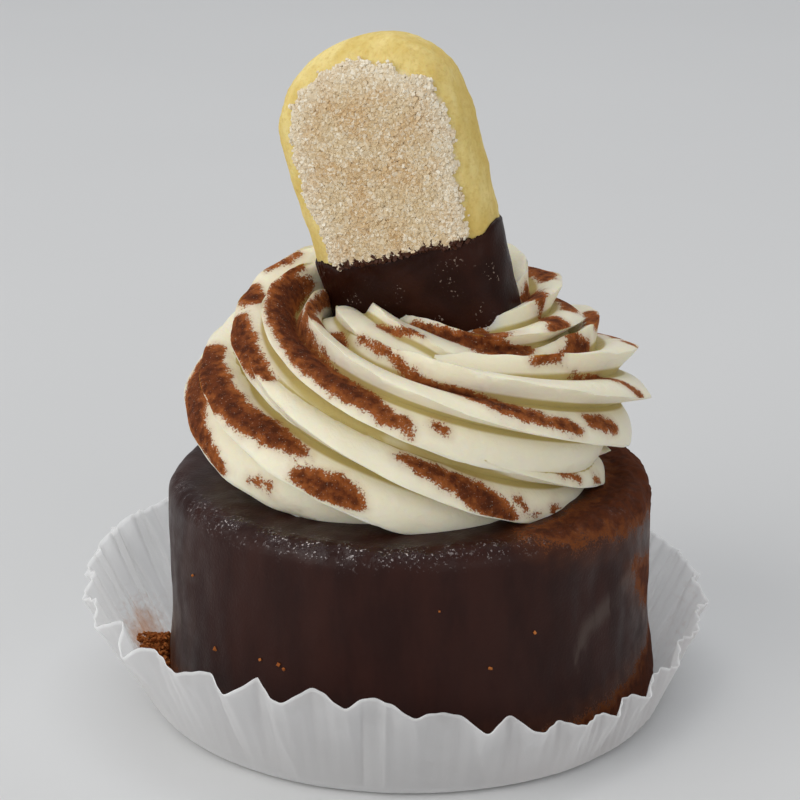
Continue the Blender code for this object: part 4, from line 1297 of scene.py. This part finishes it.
def dip_material():
    """Dark chocolate: satin, with clusters of small pimples that carry painted highlights."""
    made, tree, shader, place = start_material("dark_chocolate", IOR=1.5, Specular_IOR_Level=0.12)
    cloud = ramp(tree, noise(tree, place, 6.0, 3.0), 0.35, 0.7)
    chocolate = blend_colours(tree, cloud, DIP_DARK, DIP_LIGHT)
    pimples = ramp(tree, noise(tree, place, 0.4, 1.0), 0.64, 0.74)
    cluster = ramp(tree, noise(tree, place, 4.0, 1.0), 0.50, 0.62)
    glints = sums(tree, "MULTIPLY", pimples, cluster)
    # Painted highlights: the pimples' colour is lightened as painted glints.
    shade = blend_colours(tree, sums(tree, "MULTIPLY", glints, 0.7), chocolate, DIP_GLINT)
    rough = ramp(tree, noise(tree, place, 2.0, 3.0), 0.3, 0.7, 0.30, 0.46)
    feed(tree, shader, Base_Color=shade, Roughness=rough)
    height = sums(tree, "MULTIPLY_ADD", glints, 2.0, noise(tree, place, 0.35, 2.0))
    add_bump(tree, shader, height, 0.4, 0.12)
    return made


dress(chocolate_dip(), dip_material(), "chocolate_dip")

# Table and light, in metres: a plain pale table top that turns up into a backdrop far behind, lit from a
# window in front on the left, a broad soft light above and behind, and a weak fill in front on the right.
FLOOR_HALF_WIDTH = 2.2
FLOOR_FRONT, FLOOR_BACK = -1.6, 2.0
SWEEP_RADIUS = 0.6
SWEEP_HEIGHT = 1.8
TABLE_DARK = (0.65, 0.65, 0.65, 1)
TABLE_LIGHT = (0.68, 0.68, 0.68, 1)
LIGHTS_AIM = (0.0, 0.0, 0.05)
# Lights: name, place, size, watts and colour.
LIGHTS = (
    ("window", (-0.98, -0.64, 0.70), 1.3, 9.6, (1.0, 0.985, 0.95)),
    ("above", (0.0, 0.60, 1.40), 1.4, 7.5, (0.97, 0.985, 1.0)),
    ("fill", (0.70, -1.00, 0.45), 0.9, 2.2, (1.0, 0.98, 0.95)),
)
ROOM_COLOUR, ROOM_STRENGTH = (0.95, 0.97, 1.0, 1.0), 0.46
CAMERA_PLACE = (-0.0016, -0.3108, 0.1460)
CAMERA_TILT = 71.9
CAMERA_LENS, CAMERA_SENSOR = 100.0, 36.0
CAMERA_NEAREST = 0.01


def table():
    """The table top and backdrop: one sheet, straight, then a quarter round, then straight up."""
    bend = np.linspace(0, 0.5 * math.pi, 24)
    wall = FLOOR_BACK + SWEEP_RADIUS
    y = np.concatenate([[FLOOR_FRONT], FLOOR_BACK + SWEEP_RADIUS * np.sin(bend), [wall]])
    z = np.concatenate([[0.0], SWEEP_RADIUS * (1 - np.cos(bend)), [SWEEP_HEIGHT]])
    sides = [np.stack([np.full_like(y, x), y, z], axis=1) for x in (-FLOOR_HALF_WIDTH, FLOOR_HALF_WIDTH)]
    count = len(y)
    a = np.arange(count - 1)
    faces = np.stack([a, a + count, a + count + 1, a + 1], axis=1)
    sheet = add_mesh("table_top", np.concatenate(sides) / MM, faces.tolist())
    made, tree, shader, place = start_material("pale_table_top", Roughness=0.6)
    feed(tree, shader, Base_Color=blend_colours(tree, noise(tree, place, 180.0), TABLE_DARK, TABLE_LIGHT))
    sheet.data.materials.append(made)


def area_light(name, place, size, watts, colour):
    """A square soft light at a place, turned to face the cake."""
    lamp = bpy.data.lights.new(name, "AREA")
    lamp.shape = "SQUARE"
    lamp.size = size
    lamp.energy = watts
    lamp.color = colour
    made = bpy.data.objects.new(name, lamp)
    bpy.context.scene.collection.objects.link(made)
    made.location = place
    way = np.array(place) - np.array(LIGHTS_AIM)
    flat = math.hypot(way[0], way[1])
    made.rotation_euler = (math.atan2(flat, way[2]), 0.0, math.atan2(way[0], -way[1]))


table()
for row in LIGHTS:
    area_light(*row)

world = bpy.data.worlds.new("room")
bpy.context.scene.world = world
world.use_nodes = True
room_light = world.node_tree.nodes["Background"]
room_light.inputs["Color"].default_value = ROOM_COLOUR
room_light.inputs["Strength"].default_value = ROOM_STRENGTH
bpy.context.scene.view_settings.view_transform = "Standard"

lens = bpy.data.cameras.new("camera")
lens.lens = CAMERA_LENS
lens.sensor_width = CAMERA_SENSOR
lens.clip_start = CAMERA_NEAREST
camera = bpy.data.objects.new("camera", lens)
bpy.context.scene.collection.objects.link(camera)
camera.location = CAMERA_PLACE
camera.rotation_euler = (math.radians(CAMERA_TILT), 0.0, 0.0)
bpy.context.scene.camera = camera
